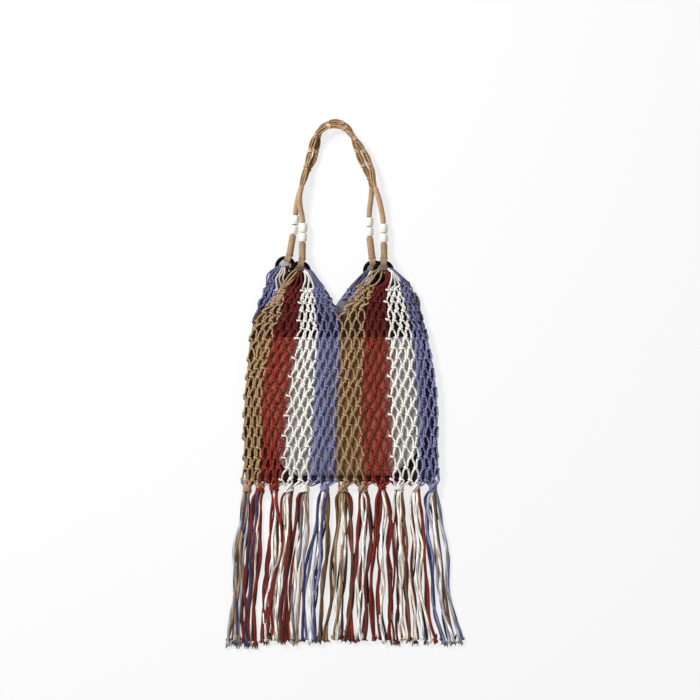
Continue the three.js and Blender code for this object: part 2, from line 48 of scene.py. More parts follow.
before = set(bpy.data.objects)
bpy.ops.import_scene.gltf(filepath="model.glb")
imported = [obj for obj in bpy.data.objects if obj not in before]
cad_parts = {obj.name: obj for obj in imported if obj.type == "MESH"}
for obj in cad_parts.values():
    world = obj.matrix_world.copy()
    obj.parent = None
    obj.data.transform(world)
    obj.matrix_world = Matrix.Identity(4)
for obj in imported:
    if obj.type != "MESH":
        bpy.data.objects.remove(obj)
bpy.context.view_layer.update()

MM = 0.001
TURN = 2 * math.pi

# ---- the sack ----
# Its outline at each level: y, left edge, right edge, share of its full height.
SACK_SECTIONS = np.array([
    (192, -98, 86, 1), (175, -113, 93, 1), (166, -120.5, 101.5, 1), (150, -124.6, 118, 1),
    (134, -130.4, 128.7, 1), (117, -137, 133.7, 1), (92, -145.2, 139.4, 1), (68, -150.2, 148.5, 1),
    (43, -152.6, 152.6, 1), (10, -155, 158.4, 1), (-23, -159.2, 164.2, 1), (-56, -160.9, 165.8, 1),
    (-89, -161.7, 165.8, 1), (-122, -160, 165.8, 1), (-150, -160.9, 166.6, 0.97),
    (-163, -162.5, 167.5, 0.84), (-171, -163.5, 168, 0.7), (-177, -163.5, 168, 0.5),
    (-186, -163.5, 168, 0.42),
])[::-1]
# Height of the cords' centres over the floor, by the distance in from the sack's side.
ARCH_INSET = [1.5, 3, 6, 14, 32, 70, 150]
FRONT_ARCH = [6.8, 9.2, 11.8, 15.1, 18.4, 20.6, 21.2]
BACK_ARCH = [5.2, 3.2, 2.0, 1.7, 1.7, 1.7, 1.7]

# ---- the net ----
ROW_LEVELS = [
    151, 141.5, 131.5, 121.5, 107.3, 91.6, 76.7, 61.1, 45.4, 28.5, 12.4, -2.6,
    -17.8, -33.7, -49.3, -64.7, -82.3, -99, -116.3, -134.5, -152.6, -171.6,
]
COLUMNS = 24
STRIPE_COLUMNS = 3
STRIPES = {
    "front": ["tan", "red", "white", "blue"] * 2,
    "back": ["blue", "white", "red", "tan"] * 2,
}
# y, then the stripe edges of the left half and as many of the right half. The back's table
# has only the halves' own edges.
EDGES = {"front": np.array([
    (151, -92, -85, -60, -46, -31, 35, 57, 79, 100, 117),
    (141.5, -102, -87, -61, -43, -24, 31, 55.5, 79, 101.5, 121.5),
    (131.5, -111.5, -89.5, -64, -41, -17.5, 25, 53, 78, 104, 128.5),
    (121.5, -119.5, -92, -64.5, -40, -12.5, 19, 50, 77.5, 106.5, 131.5),
    (107, -130, -94, -65.2, -38.8, -4, 4, 43.7, 79.2, 111.4, 135),
    (76, -146, -106.4, -66.8, -36.3, 0.8, 0.8, 42.1, 80, 119.6, 144.5),
    (43, -151, -113, -71.8, -35.5, 0.8, 0.8, 42.1, 81.7, 122.9, 151),
    (10, -153.5, -121.3, -78.4, -38.8, 0, 0, 39.6, 83.3, 125.4, 156.9),
    (-40, -159, -127.9, -84.2, -42.1, -4.1, -4.1, 37.1, 83.3, 127.9, 164),
    (-89, -160, -127, -89.1, -42.9, -5.8, -5.8, 37.1, 85, 130.4, 164),
    (-139, -159, -127.9, -93.2, -47.9, -7.4, -7.4, 40.4, 87.5, 132.8, 165),
    (-172, -162, -132.8, -96.5, -48.7, -5.8, -5.8, 42.1, 86.6, 132.8, 166.5),
])[::-1], "back": np.array([
    (166, -118, -74, 47, 82), (152, -122, -55, 24, 104), (137, -127.5, -28, 13, 121),
    (122, -133.5, -10, 2, 129.5), (107, -139, 0, 0, 134.5), (92, -143.5, 0.8, 0.8, 138),
    (68, -148.6, 0.8, 0.8, 147), (43, -151, 0.8, 0.8, 151), (10, -153.5, 0, 0, 156.9),
    (-40, -158.6, -4, -4, 163.6), (-89, -160.2, -5.8, -5.8, 164.3), (-139, -159, -6, -6, 164.8),
    (-172, -162, -5.8, -5.8, 166.5),
])[::-1]}
NECK_FOOT = 100                   # below this level the two halves of a face are joined
NET_SEEDS = {"front": 11, "back": 23}

# Offsets of a cord from the middle of a knot: across, up the bag and out from the bag.
KNOT_WRAP = np.array([
    (1.7, 5.2, 0.2), (1.1, 3.2, -0.5), (-1.0, 2.4, -1.5), (-3.1, 1.9, -0.4), (-3.2, 1.2, 1.3),
    (-1.4, 0.7, 2.4), (1.2, 0.0, 2.4), (3.0, -1.1, 1.4), (3.9, -3.4, 0.3),
])
KNOT_STRAIGHT = np.array([
    (-1.7, 5.2, 0.3), (-1.3, 2.6, 0.5), (-1.0, 0.4, 0.1), (-2.4, -1.8, 0.2), (-3.9, -3.4, 0.3),
])
LEG_SWING = (0.72, 0.47)          # how far across a leg has swung, and how far down by then
EDGE_KNOT_SIZE = 0.72
EDGE_STRAY = 0.2
EDGE_INSET = 1.6
KNOT_SIZES = (0.84, 1.06)
KNOT_LEAN = 0.14
LEG_STRAY = 0.3
LEG_BOW = 0.5
# How far the brightness of a colour's cords varies, how thick they are, and the painted shade that
# darkens them above the panel's hem, over the dark inside of the sack.
CORD_LOOKS = {
    "tan": ((0.8, 1.12), 0.93, (0, 0, 0)),
    "red": ((0.82, 1.2), 0.98, (0.56, 0.84, 0.88)),
    "white": ((0.9, 1.06), 1.06, (0.08, 0.08, 0.08)),
    "blue": ((0.68, 1.22), 0.93, (0.19, 0.2, 0.16)),
}
HEM_FADE = (58, 74)
UPPER_THINNING = 0.1
# The outermost cords on the right turn away from the light.
SHOULDER_CORDS = 2
SHOULDER_SHADE = np.array((0.5, 0.52, 0.45))
FAN_FADE = (143, 150)
# The row of knots that each stripe's cords start from.
FIRST_ROWS = {"front": [1] * 7 + [0], "back": [0] + [1] * 7}
# The rows near the rings hang askew: x and the rise of the top row there.
LEFT_SKEW = np.array([(-104, -8), (-87, 3), (-80, -3)])
RIGHT_SKEW = np.array([(40, 4), (60, 0)])
SKEW_LEVELS = (76, 141.5)
TOP_KNOT_SIZE = 0.8
TOP_LEVELS = (122, 131)
# Stripes whose cords leave the ring in pairs.
PAIRED = {("front", "white"), ("front", "tan")}
BACK_KNOT_DEPTH = 0.55            # the back's knots are pressed flat by the bag
BACK_KNOT_LIFT = 1.2
# Beside the front's straps the back's cords lie over the lining.
LEFT_STRAP_SIDE = -90
LEFT_STRAP_LEVELS = (102, 112)
RIGHT_STRAP_LEVELS = (118, 128)
STRAP_ACROSS = (-101, -95, -8, -4, 34, 38)
STRAP_SHARE = (1, 0, 0, 1, 1, 0)
STRAP_HEIGHT = 10.6

# ---- rings ----
RING_RADIUS = 14
RING_WIRE = 3.5
# Each ring's middle and the colour of the lashing that holds the cords in it. The greys and the
# brown are white and tan cord with painted shade, as the clump lies in shade inside the ring.
RINGS = {
    "ring_back_left": ((-89.4, 180.7, 6.8), (168, 166, 165)),
    "ring_back_right": ((56.1, 174.1, 6.8), (120, 116, 112)),
    "ring_front_left": ((-64.4, 172.4, 19.5), (98, 74, 52)),
    "ring_front_right": ((72.3, 173.3, 19.5), (112, 106, 92)),
}
# Each turn of a lashing: its height in the ring and its half width.
LASHING_TURNS = [(9.0, 5.4), (7.2, 7.4), (5.4, 8.8), (3.6, 9.6), (1.8, 9.9)]
LASHING_DEPTH = 4.2
LASHING_CORD_RADIUS = 1.7

# ---- linings ----
FRONT_LINING = np.array([
    (-164, -70, 82), (-160, -82, 93), (-150, -93, 103), (-137, -102, 117), (-123, -114, 132),
    (-105, -128, 140), (-80, -139, 142), (-30, -143, 142), (20, -141.5, 141), (64.4, -138, 136),
])
BACK_LINING_LEFT = np.array([
    (-176, -151), (-164, -156), (-148, -157), (-60, -157.5), (-20, -155), (12, -151.5),
    (43, -149.5), (66, -147), (94, -141), (107, -136.5), (119, -132.5), (138, -126), (148, -120),
    (158, -114), (168, -106),
])
NECK_LEFT = np.array([
    (115, -7), (119, -9.5), (122, -11.5), (130, -14.8), (137, -18.3), (145, -24.8), (150, -28.5),
    (160, -37), (168, -46),
])
NECK_RIGHT = np.array([
    (115, -7), (122, -2.5), (130, 3), (137, 8.5), (145, 14.5), (150, 19), (160, 29), (168, 38),
])
BACK_LINING_RIGHT = np.array([
    (-176, 154), (-164, 161), (-148, 162.5), (-50, 161), (12, 154), (66, 144.5), (101, 134),
    (110, 133.5), (121, 133.5), (131, 130.5), (139, 123), (147, 110), (154, 100), (168, 78),
])
LINING_THICKNESS = 0.8
LINING_FOOT = -176                # the back lining's gathered lower edge
PANEL_GRID = (70, 80)
BACK_GRID = (90, 44)
STRIPE_SOFTNESS = 6
# Painted light on the cloth: a painted reflection of the colour of the cord in front of it, and
# on the back lining painted shade, near black inside the sack and lighter at its foot. For the
# front panel, the back lining and the back lining's foot.
PANEL, BACK, BACK_FOOT = range(3)
LINING_PAINTED_LIGHT = {
    "tan": ((134, 99, 63), (62, 44, 28), (118, 88, 60)),
    "red": ((158, 86, 64), (84, 13, 7), (108, 36, 26)),
    "white": ((178, 176, 172), (14, 14, 16), (20, 19, 21)),
    "blue": ((124, 128, 148), (44, 45, 70), (84, 86, 116)),
}
FOOT_FADE = (-166, -158)
# The back lining's grey edges are painted light and its dark inside is painted shade: where the
# lit edges fade in, how wide they are and their hem's line. Right of SHOULDER_SIDE the outer side
# has such a lit edge too, and left of NECK_SIDE it is weaker.
EDGE_LEVELS = (96, 110)
EDGE_WIDTH = 24
HEM_LINE = (1.2, 3.0)
SHOULDER_SIDE = 60
NECK_SIDE = 50
WEAK_EDGE = 0.82
# The lining in the left strap lies left of and above this corner, painted a dark bluish shade
# there with a painted pool of light.
STRAP_CORNER = (-94, 110)
STRAP_PAINTED_SHADE = (38, 36, 58)
LIT_SPOT = (-101, 148, 90)        # where the left strap's lining catches the light: x, y, spread
FRONT_LINING_DROP = 4.5           # from the middle of the front's cords down to the sheet
BACK_LINING_LEVEL = 6.9

# ---- handles ----
FRONT_HANDLE_ROUTE = [
    (-62, 181, 19.5), (-61.7, 188, 18.6), (-61.4, 200, 14), (-61.2, 215, 9.3),
    (-60.6, 229, 7.9), (-60, 245, 7.8), (-62, 264, 8.6), (-65.2, 281, 12),
    (-65.8, 297, 14.2), (-63.2, 311, 14.3), (-60, 325, 14.2), (-56.4, 340, 13),
    (-52.2, 356, 10.4), (-48, 373, 10.4), (-43, 388, 13), (-36.5, 399.5, 14.6),
    (-28, 407, 14.4), (-17, 411.8, 13.2), (-4, 412.2, 12.8), (8, 408, 13.4),
    (18, 399.5, 14.6), (28, 388, 14), (39, 372.5, 11.6), (47, 356.5, 10.8),
    (53, 340, 13), (55.5, 323, 14.4), (60, 307, 13.6), (65.3, 291, 11.4),
    (69.4, 273, 9), (71.8, 258, 8), (72.8, 242.5, 7.8), (73.2, 226, 7.9),
    (73.3, 212, 9.6), (73.4, 199, 14), (73, 189, 18.4), (72.8, 182, 19.5),
]
BACK_HANDLE_ROUTE = [
    (-84.5, 187.5, 6.8), (-83.5, 193, 6.7), (-81.6, 205, 6.6), (-79.4, 218, 7.2),
    (-77.8, 228, 7.6), (-76.1, 238.5, 7.7), (-73.9, 255, 7.7), (-72.6, 269, 6.4),
    (-70.3, 286, 5), (-66.3, 302, 4.8), (-60, 320, 4.8), (-53, 337, 4.8),
    (-45.8, 350, 4.8), (-40.2, 363, 4.8), (-37.5, 378, 4.8), (-35.7, 391, 4.8),
    (-32.5, 404, 4.8), (-24, 414, 4.8), (-12, 419.2, 4.8), (1, 419, 4.8),
    (12, 412.5, 4.8), (20, 400, 4.8), (25.5, 385, 4.8), (29.8, 370, 4.8),
    (36.3, 354, 4.8), (43.8, 338.5, 4.8), (50.5, 323.5, 4.8), (53, 310, 4.8),
    (52.3, 298, 4.8), (51, 286, 5), (49.4, 274, 6.2), (48.9, 263, 7.3),
    (49, 251.8, 7.7), (49.4, 236, 7.7), (50.4, 223, 7.4), (52.2, 208, 6.8),
    (54, 193, 6.7), (54.8, 182.5, 6.8),
]
# Lower bead of each end, each tie of the open part and the whipped grip above the beads, as
# distances along the route.
HANDLES = {
    "front": {
        "route": FRONT_HANDLE_ROUTE,
        "beads": (49.5, 47.5),
        "ties": [170, 196, 222, 250, 276, 300, 326, 350],
        "seed": 5,
        "grip": 62,
        "tone": 1.0,
        "foot_tone": 0.64,
    },
    "back": {
        "route": BACK_HANDLE_ROUTE,
        "beads": (54.5, 55.5),
        "ties": [160, 190, 216, 243, 268, 296, 322, 348, 372],
        "seed": 7,
        "grip": 50,
        "tone": 0.84,
        "foot_tone": 0.95,
    },
}
# Radius and height over the bead's middle, from inside its lower mouth to its belly.
BEAD_SIDE = [(3.9, -6.8), (4.5, -7.6), (5.4, -7.7), (6.2, -6.5), (6.85, -4.2), (7.25, -1.2)]
BEAD_OUTLINE = BEAD_SIDE + [(radius, -height) for radius, height in reversed(BEAD_SIDE)]
BEAD_SEGMENTS = 32
BEAD_LENGTH = 15.4
BEAD_PITCH = 16.2
WHIPPING_START = 9
WHIPPING_PITCH = 2.1
FOOT_RADIUS = 5.6
NECK_RADIUS = 3.3
NECK_TONE = 0.6
GRIP_RADIUS = 4.4
# Two tight dark turns bind the whipping just above each ring.
COLLAR_START = 11
COLLAR_PITCH = 1.3
COLLAR_RADIUS = 5.5
COLLAR_CORD_RADIUS = 0.9
COLLAR_TONE = 0.5
# The handle's cords over a ring's wire: distance beyond the wire's middle and height.
RING_BRIDGE = np.array([
    (-9.5, 2.0), (-6, 4.2), (-2.5, 5.6), (1.5, 5.9), (5, 4.6), (8.5, 2.9), (12, 2.2),
])
BRIDGE_OFFSETS = (-3.7, -1.9, 0, 1.9, 3.7)
BRIDGE_CORD_RADIUS = 1.5
RING_REACH = 20
# Strands of the open part: aside, up, radius and tone. The tone is painted shade: the lower strands
# and the one on the right, away from the light, are darker.
OPEN_LANES = [
    (-2.5, 0.5, 1.5, 0.9), (2.5, 0.2, 1.5, 0.56), (-0.9, -0.8, 1.6, 0.3),
    (1.0, -0.5, 1.6, 0.36), (0.3, 1.3, 1.2, 0.98),
]
OPEN_TINT = np.array((0.89, 0.86, 0.75))
OPEN_OVERLAP = 3
TIE_TURNS = 2.3
TIE_PITCH = 2.0
TIE_WIDTH = 3.7
TIE_HEIGHT = 3.3
TIE_CORD_RADIUS = 1.1

# ---- fringe ----
FRINGE_SEED = 31
FRINGE_DEPTHS = [188, 238, 287, 337, 386, 436]
# Middle of the knot, colours from left to right, the knot's colours, left and right edges at
# each depth.
TASSELS = [
    (-152.6, "LTDWNTLN", "TT", (-161, -166, -176, -176, -179, -187), (-148, -148, -154, -159, -163, -161)),
    (-131.2, "KRNWKPKR", "TR", (-144, -148, -154, -159, -163, -163), (-128, -128, -128, -134, -138, -138)),
    (-108.1, "RRKWPKRR", "RR", (-113, -113, -121, -125, -128, -131), (-103, -97, -90, -105, -115, -115)),
    (-83, "RWWPTWRK", "WW", (-98, -97, -103, -118, -118, -115), (-78, -78, -80, -88, -95, -92)),
    (-56.9, "RKRPGWTL", "WW", (-72, -75, -85, -93, -93, -92), (-50, -50, -54, -60, -68, -65)),
    (-24.5, "NBWLBNTD", "BB", (-35, -40, -52, -62, -65, -62), (-16, -16, -17, -22, -26, -29)),
    (5.8, "DTWTWKDR", "TT", (-6, -9, -12, -16, -22, -26), (19, 22, 24, 24, 21, 17)),
    (38.8, "KRWGWRRK", "TT", (31, 29, 26, 19, 17, 17), (50, 54, 54, 47, 47, 44)),
    (70.1, "RRKRWPRK", "RR", (60, 55, 54, 47, 47, 54), (80, 87, 83, 87, 87, 87)),
    (98.2, "WRKWWPRD", "WW", (88, 87, 87, 85, 83, 83), (106, 110, 113, 113, 116, 120)),
    (126.2, "PKWNWPKR", "WW", (116, 116, 120, 116, 120, 123), (133, 139, 146, 146, 149, 163)),
    (154.3, "NBLWTDLB", "BB", (138, 139, 146, 149, 153, 166), (163, 172, 182, 181, 192, 204)),
]
FRINGE_STEPS = [-203, -226, -251, -275, -299, -323, -348, -372, -397, -420, -436]
FRINGE_KNOT_LEVEL = -187.5
FRINGE_TOP = -190
GATHER_HEIGHT = 7                 # of the middle of the gathered cords
BUNCH_PULL = 0.5                  # how closely a tassel's strands keep in three bunches
STRANDS_PER_TASSEL = 8
UNDER_STRANDS = 5
UNDER_SIZE = 0.72
# The lowest and the highest strand's brightness, the lower ones darker as painted shade, and how
# far they lie apart.
LAYER_PAINTED_SHADES = (0.74, 1.08)
LAYER_LIFT = 4.6
SWINGS = (0.8, 3.2)
# Painted shade: dark strands under the fringe stand in for the shade beneath it. How dark those
# that lie under the strands of each colour are.
UNDER_STRAND_PAINTED_SHADES = {"W": 0.02, "P": 0.02, "G": 0.15, "L": 0.06, "K": 0.25, "N": 0.3}
UNDER_STRAND_PAINTED_SHADE = 0.07
FRINGE_DYE = {"T": 0.85, "R": 0.8, "W": 1.14, "P": 1.14}
TIP_LEVEL = -444
# How much sooner than the first tassel's the tips of each one end.
TIP_RISES = [-1, 0, 4, 6, 4, 5, 9, 7, 6, 3, 4, 3]
TIP_STRAY = (-4, 13)
UNDER_TIP_RISE = 14
TIP_TAPER = (0.9, 0.75, 0.5)
TIP_HAIRS = 9
# The gather knots, and the loop over each from the knot's middle.
KNOT_WIDTH = 6.3
KNOT_DEPTH = 5.3
KNOT_HEIGHT = 7.2
KNOT_RISE = 7.6
KNOT_PITCH = 2.9
KNOT_LOOP = np.array([(-3.6, 11, 8), (-1.4, 7, 13.4), (2.2, 2.5, 14.2), (4.6, -1.5, 11.5), (4.1, -5, 7)])
KNOT_CORD_RADIUS = 1.65


def srgb(red, green, blue):
    """Linear colour of an everyday 0 to 255 colour."""
    return tuple(
        value / 12.92 if value <= 0.04045 else ((value + 0.055) / 1.055) ** 2.4
        for value in (red / 255, green / 255, blue / 255)
    )


# ---- shaping helpers ----
def smooth_path(points, steps):
    """Catmull-Rom path through the points, with so many steps between two of them."""
    p = np.asarray(points, dtype=float)
    padded = np.vstack([2 * p[0] - p[1], p, 2 * p[-1] - p[-2]])
    a, b, c, d = padded[:-3], padded[1:-2], padded[2:-1], padded[3:]
    out = []
    for t in np.arange(steps) / steps:
        out.append(0.5 * (
            2 * b + (c - a) * t
            + (2 * a - 5 * b + 4 * c - d) * t ** 2
            + (3 * b - a - 3 * c + d) * t ** 3
        ))
    path = np.stack(out, axis=1).reshape(-1, p.shape[1])
    return np.vstack([path, p[-1]])


def travelled(path):
    """Distance of each point of a path from its start."""
    return np.concatenate([[0], np.cumsum(np.linalg.norm(np.diff(path, axis=0), axis=1))])


def transported(path):
    """Tangents and two cross directions that follow the path without twisting."""
    tangents = np.gradient(path, axis=0)
    tangents /= np.maximum(np.linalg.norm(tangents, axis=1, keepdims=True), 1e-9)
    first = Vector(tangents[0])
    side = Vector((0, 0, 1)).cross(first)
    if side.length < 0.1:
        side = Vector((1, 0, 0)).cross(first)
    side.normalize()
    sides = [side.copy()]
    for before, after in zip(tangents[:-1], tangents[1:]):
        side.rotate(Vector(before).rotation_difference(Vector(after)))
        sides.append(side.copy())
    sides = np.array(sides)
    return tangents, sides, np.cross(tangents, sides)


def table_row(table, y):
    """All columns of a table, taken between its rows at y."""
    return [np.interp(y, table[:, 0], table[:, k]) for k in range(1, table.shape[1])]


class CordBuilder:
    """Collects closed tubes for one mesh, with a length-and-turn UV map and a colour for each point that
    holds the cord's colour with its painted light and shade.
    """

    def __init__(self, sides):
        self.sides = sides
        self.tubes = []

    def add(self, path, radius, dye, offset=0.0, sides=None, profile=None):
        """One tube in millimetres. profile(distance, turn) scales the radius round it.

        radius and dye are one value, or one for each point of the path.
        """
        count = sides or self.sides
        path = np.array(path, dtype=float)
        path[:, 2] = np.maximum(path[:, 2], radius)
        _, across, up = transported(path)
        distance = travelled(path) + offset
        turn = np.arange(count) / count
        radii = np.broadcast_to(radius, len(path))[:, None]
        if profile:
            radii = radii * profile(distance[:, None], turn)
        ring = (
            path[:, None]
            + across[:, None] * (np.cos(turn * TURN) * radii)[:, :, None]
            + up[:, None] * (np.sin(turn * TURN) * radii)[:, :, None]
        )
        self.tubes.append((ring, distance, dye))

    def build(self, name, cotton, slot, node):
        """The finished piece of all tubes, in metres."""
        points, faces, uvs, dyes_and_painted_light = [], [], [], []
        base = 0
        for ring, distance, dye in self.tubes:
            rows, count, _ = ring.shape
            points.append(ring.reshape(-1, 3))
            shades = np.ones((rows, 4))
            shades[:, :3] = dye
            dyes_and_painted_light.append(np.repeat(shades, count, axis=0))
            i, j = np.meshgrid(np.arange(rows - 1), np.arange(count), indexing="ij")
            after = (j + 1) % count
            low = base + i * count
            high = low + count
            quads = np.stack([low + j, low + after, high + after, high + j], -1)
            faces += quads.reshape(-1, 4).tolist()
            u0, u1 = distance[i] * MM, distance[i + 1] * MM
            v0, v1 = j / count, (j + 1) / count
            uvs.append(np.stack([u0, v0, u0, v1, u1, v1, u1, v0], -1).reshape(-1, 2))
            last = base + (rows - 1) * count
            faces += [[*range(base, base + count)][::-1], [*range(last, last + count)]]
            for end in (0, -1):
                uvs.append(np.tile([distance[end] * MM, 0.5], (count, 1)))
            base += rows * count
        mesh = new_mesh(name, np.vstack(points) * MM, faces, np.vstack(uvs), dye=np.vstack(dyes_and_painted_light))
        finish_piece(link_piece(name, mesh, cord_material(cotton)), node)


def new_mesh(name, points, faces, uvs=None, **colours):
    """A smooth mesh with a UV map, and a named colour for each of its points."""
    mesh = bpy.data.meshes.new(name)
    mesh.from_pydata(points, [], faces)
    mesh.polygons.foreach_set("use_smooth", np.ones(len(faces), dtype=bool))
    if uvs is not None:
        mesh.uv_layers.new(name="UVMap").data.foreach_set("uv", uvs.ravel())
    for layer, values in colours.items():
        mesh.attributes.new(layer, "FLOAT_COLOR", "POINT").data.foreach_set("color", np.ravel(values))
    return mesh


def link_piece(name, mesh, material):
    piece = bpy.data.objects.new(name, mesh)
    bpy.context.scene.collection.objects.link(piece)
    mesh.materials.append(material)
    return piece


def finish_piece(piece, node):
    """The piece rides on the bag and stands for this CAD node."""
    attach(piece, "root")
    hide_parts(node)


def select_only(piece):
    bpy.ops.object.select_all(action="DESELECT")
    piece.select_set(True)
    bpy.context.view_layer.objects.active = piece


def apply_modifier(piece, kind, **settings):
    select_only(piece)
    modifier = piece.modifiers.new(kind, kind)
    for key, value in settings.items():
        setattr(modifier, key, value)
    bpy.ops.object.modifier_apply(modifier=modifier.name)


def face_outward(piece):
    select_only(piece)
    bpy.ops.object.mode_set(mode="EDIT")
    bpy.ops.mesh.select_all(action="SELECT")
    bpy.ops.mesh.normals_make_consistent(inside=False)
    bpy.ops.object.mode_set(mode="OBJECT")


# ---- materials ----
# The turn of each cord's plies, their pitch, how light their grooves stay under painted shade, their
# relief, the cord's fuzz and how dark its streaks are. The ply crowns get a painted highlight, and the
# streaks are fibre lines that also paint light and shade along the strand.
CORD_FINISHES = {
    "twisted_cotton": (3, 4.6, 0.48, 0.4, 0.08, 0),
    "loose_cotton": (2, 34.0, 0.6, 0.5, 0.08, 0.55),
    "handle_cotton": (2, 11.0, 0.75, 0.1, 0.1, 0),
    "whipped_cotton": (-1, WHIPPING_PITCH, 0.66, 0.25, 0.08, 0),
}
THREAD_PITCH = 0.9


def new_material(name, roughness, **sockets):
    """A material, its node tree and its Principled shader."""
    material = bpy.data.materials.new(name)
    material.use_nodes = True
    tree = material.node_tree
    shader = tree.nodes["Principled BSDF"]
    shader.inputs["Roughness"].default_value = roughness
    for key, value in sockets.items():
        shader.inputs[key.replace("_", " ")].default_value = value
    return material, tree, shader


def add_node(tree, kind, inputs=None, **settings):
    """Adds a node and returns its outputs."""
    node = tree.nodes.new("ShaderNode" + kind)
    for key, value in settings.items():
        setattr(node, key, value)
    for key, value in (inputs or {}).items():
        if isinstance(value, bpy.types.NodeSocket):
            tree.links.new(value, node.inputs[key])
        else:
            node.inputs[key].default_value = value
    return node.outputs


def do_math(tree, operation, first, second=0.0, third=0.0):
    return add_node(tree, "Math", {0: first, 1: second, 2: third}, operation=operation)[0]


def product(tree, value, *factors):
    for factor in factors:
        value = do_math(tree, "MULTIPLY", value, factor)
    return value


def remapped(tree, value, low, high, new_low, new_high):
    inputs = {0: value, 1: low, 2: high, 3: new_low, 4: new_high}
    return add_node(tree, "MapRange", inputs)[0]


def noise(tree, place, scale, detail):
    return add_node(tree, "TexNoise", {"Vector": place, "Scale": scale, "Detail": detail})[0]


def object_place(tree):
    return add_node(tree, "TexCoord")["Object"]


def cloth_place(tree):
    """The UV map and its two parts."""
    uv = add_node(tree, "UVMap", uv_map="UVMap")[0]
    return uv, *add_node(tree, "SeparateXYZ", {0: uv})[:2]


def point_colour(tree, name):
    return add_node(tree, "Attribute", attribute_name=name)["Color"]


def seen_directly(tree):
    """1 for what the camera or a mirror sees, else 0."""
    rays = add_node(tree, "LightPath")
    return do_math(tree, "MAXIMUM", rays["Is Camera Ray"], rays["Is Glossy Ray"])


def dress(tree, shader, colour, light, height, relief, strength):
    """Gives the shader a colour times a brightness, and a relief in millimetres."""
    base = add_node(tree, "VectorMath", {0: colour, 3: light}, operation="SCALE")[0]
    tree.links.new(base, shader.inputs["Base Color"])
    bump = {"Height": height, "Distance": relief * MM, "Strength": strength}
    tree.links.new(add_node(tree, "Bump", bump)[0], shader.inputs["Normal"])


def cord_material(name):
    """Twisted cotton cord, made once. The plies and streaks follow its length and turn."""
    if name in bpy.data.materials:
        return bpy.data.materials[name]
    plies, pitch, groove, relief, fuzz, streaks = CORD_FINISHES[name]
    material, tree, shader = new_material(
        name, 0.88, Sheen_Weight=fuzz, Sheen_Roughness=0.6, Specular_IOR_Level=0.25,
    )
    _, length, turn = cloth_place(tree)
    along = product(tree, length, 1 / (pitch * MM))
    phase = do_math(tree, "MULTIPLY_ADD", turn, float(plies), along)
    wave = do_math(tree, "SINE", product(tree, phase, math.pi))
    ply = do_math(tree, "POWER", do_math(tree, "ABSOLUTE", wave), 0.7)
    place = object_place(tree)
    fibres = noise(tree, place, 2200.0, 3.0)
    # Painted shade in the ply grooves and a painted highlight on the ply crowns, times random tone.
    light = product(
        tree,
        remapped(tree, ply, 0.0, 1.0, groove, 1.22),
        remapped(tree, fibres, 0.3, 0.7, 0.86, 1.12),
        remapped(tree, noise(tree, place, 90.0, 2.0), 0.3, 0.7, 0.88, 1.1),
    )
    # Lengthwise fibre streaks, which also paint light and shade along the strand.
    if streaks:
        angle = product(tree, turn, TURN)
        lane = add_node(tree, "CombineXYZ", {
            0: do_math(tree, "COSINE", angle),
            1: do_math(tree, "SINE", angle),
            2: product(tree, length, 26.0),
        })[0]
        streak = remapped(tree, noise(tree, lane, 1.6, 2.0), 0.36, 0.62, 1 - streaks, 1.14)
        light = product(tree, light, streak)
    height = do_math(tree, "MULTIPLY_ADD", fibres, 0.35, ply)
    # The cords' colour, with its painted light and shade.
    dress(tree, shader, point_colour(tree, "dye"), light, height, relief, 0.9)
    return material


def sheet_material(name, sheen):
    """Plain woven cloth, coloured by the painted light and shade stored on the sheet's points."""
    material, tree, shader = new_material(
        name, 0.8, Sheen_Weight=sheen, Sheen_Roughness=0.5, Specular_IOR_Level=0.3,
    )
    uv, *ways = cloth_place(tree)
    turns = TURN / (THREAD_PITCH * MM)
    weave = product(tree, *(do_math(tree, "SINE", product(tree, way, turns)) for way in ways))
    light = product(
        tree,
        remapped(tree, weave, -1.0, 1.0, 0.86, 1.1),
        remapped(tree, noise(tree, uv, 120.0, 3.0), 0.3, 0.7, 0.88, 1.12),
    )
    dress(tree, shader, point_colour(tree, "tint"), light, weave, 0.1, 0.6)
    return material


def hard_material(name, colour, roughness, grain, light, gloss, relief, **sockets):
    """A smooth finish whose fine wear shows in its colour, its gloss and its relief."""
    material, tree, shader = new_material(name, roughness, **sockets)
    wear = noise(tree, object_place(tree), *grain)
    base = add_node(tree, "RGB")[0]
    base.default_value = (*colour, 1)
    dress(tree, shader, base, remapped(tree, wear, *light), wear, *relief)
    tree.links.new(remapped(tree, wear, *gloss), shader.inputs["Roughness"])
    return material


# ---- settings ----
def colour_setting(name, description, shade):
    return bpy.props.FloatVectorProperty(
        name=name, description=description, default=srgb(*shade), size=3, min=0, max=1,
        subtype="COLOR",
    )


def length_setting(name, description, millimetres):
    return bpy.props.FloatProperty(
        name=name, description=description, default=millimetres * MM, min=0, precision=5,
        subtype="DISTANCE", unit="LENGTH",
    )


class NetBagColours(bpy.types.PropertyGroup):
    tan: colour_setting("Tan", "Natural cord of the net and fringe", (176, 143, 104))
    red: colour_setting("Red", "Brick red cord", (142, 39, 25))
    white: colour_setting("White", "Undyed white cord", (247, 243, 235))
    blue: colour_setting("Blue", "Lavender blue cord", (137, 137, 181))
    handle: colour_setting("Handle", "Cord and whipping of the handles", (188, 154, 119))
    bead: colour_setting("Bead", "Painted wooden beads", (238, 233, 222))
    ring: colour_setting("Ring", "Black rings", (4, 4, 5))
    # The lit grey painted along the back lining's edges; its inside is painted dark as shade.
    lining_grey: colour_setting("Grey lining", "Edges of the back lining", (130, 130, 135))


class NetBagSizes(bpy.types.PropertyGroup):
    cord: length_setting("Net cord", "Diameter of the net's cord", 3.3)
    fringe_cord: length_setting("Fringe cord", "Diameter of a loosened fringe cord", 5.2)
    wander: length_setting("Wander", "How far a hand-tied knot strays from its place", 0.8)


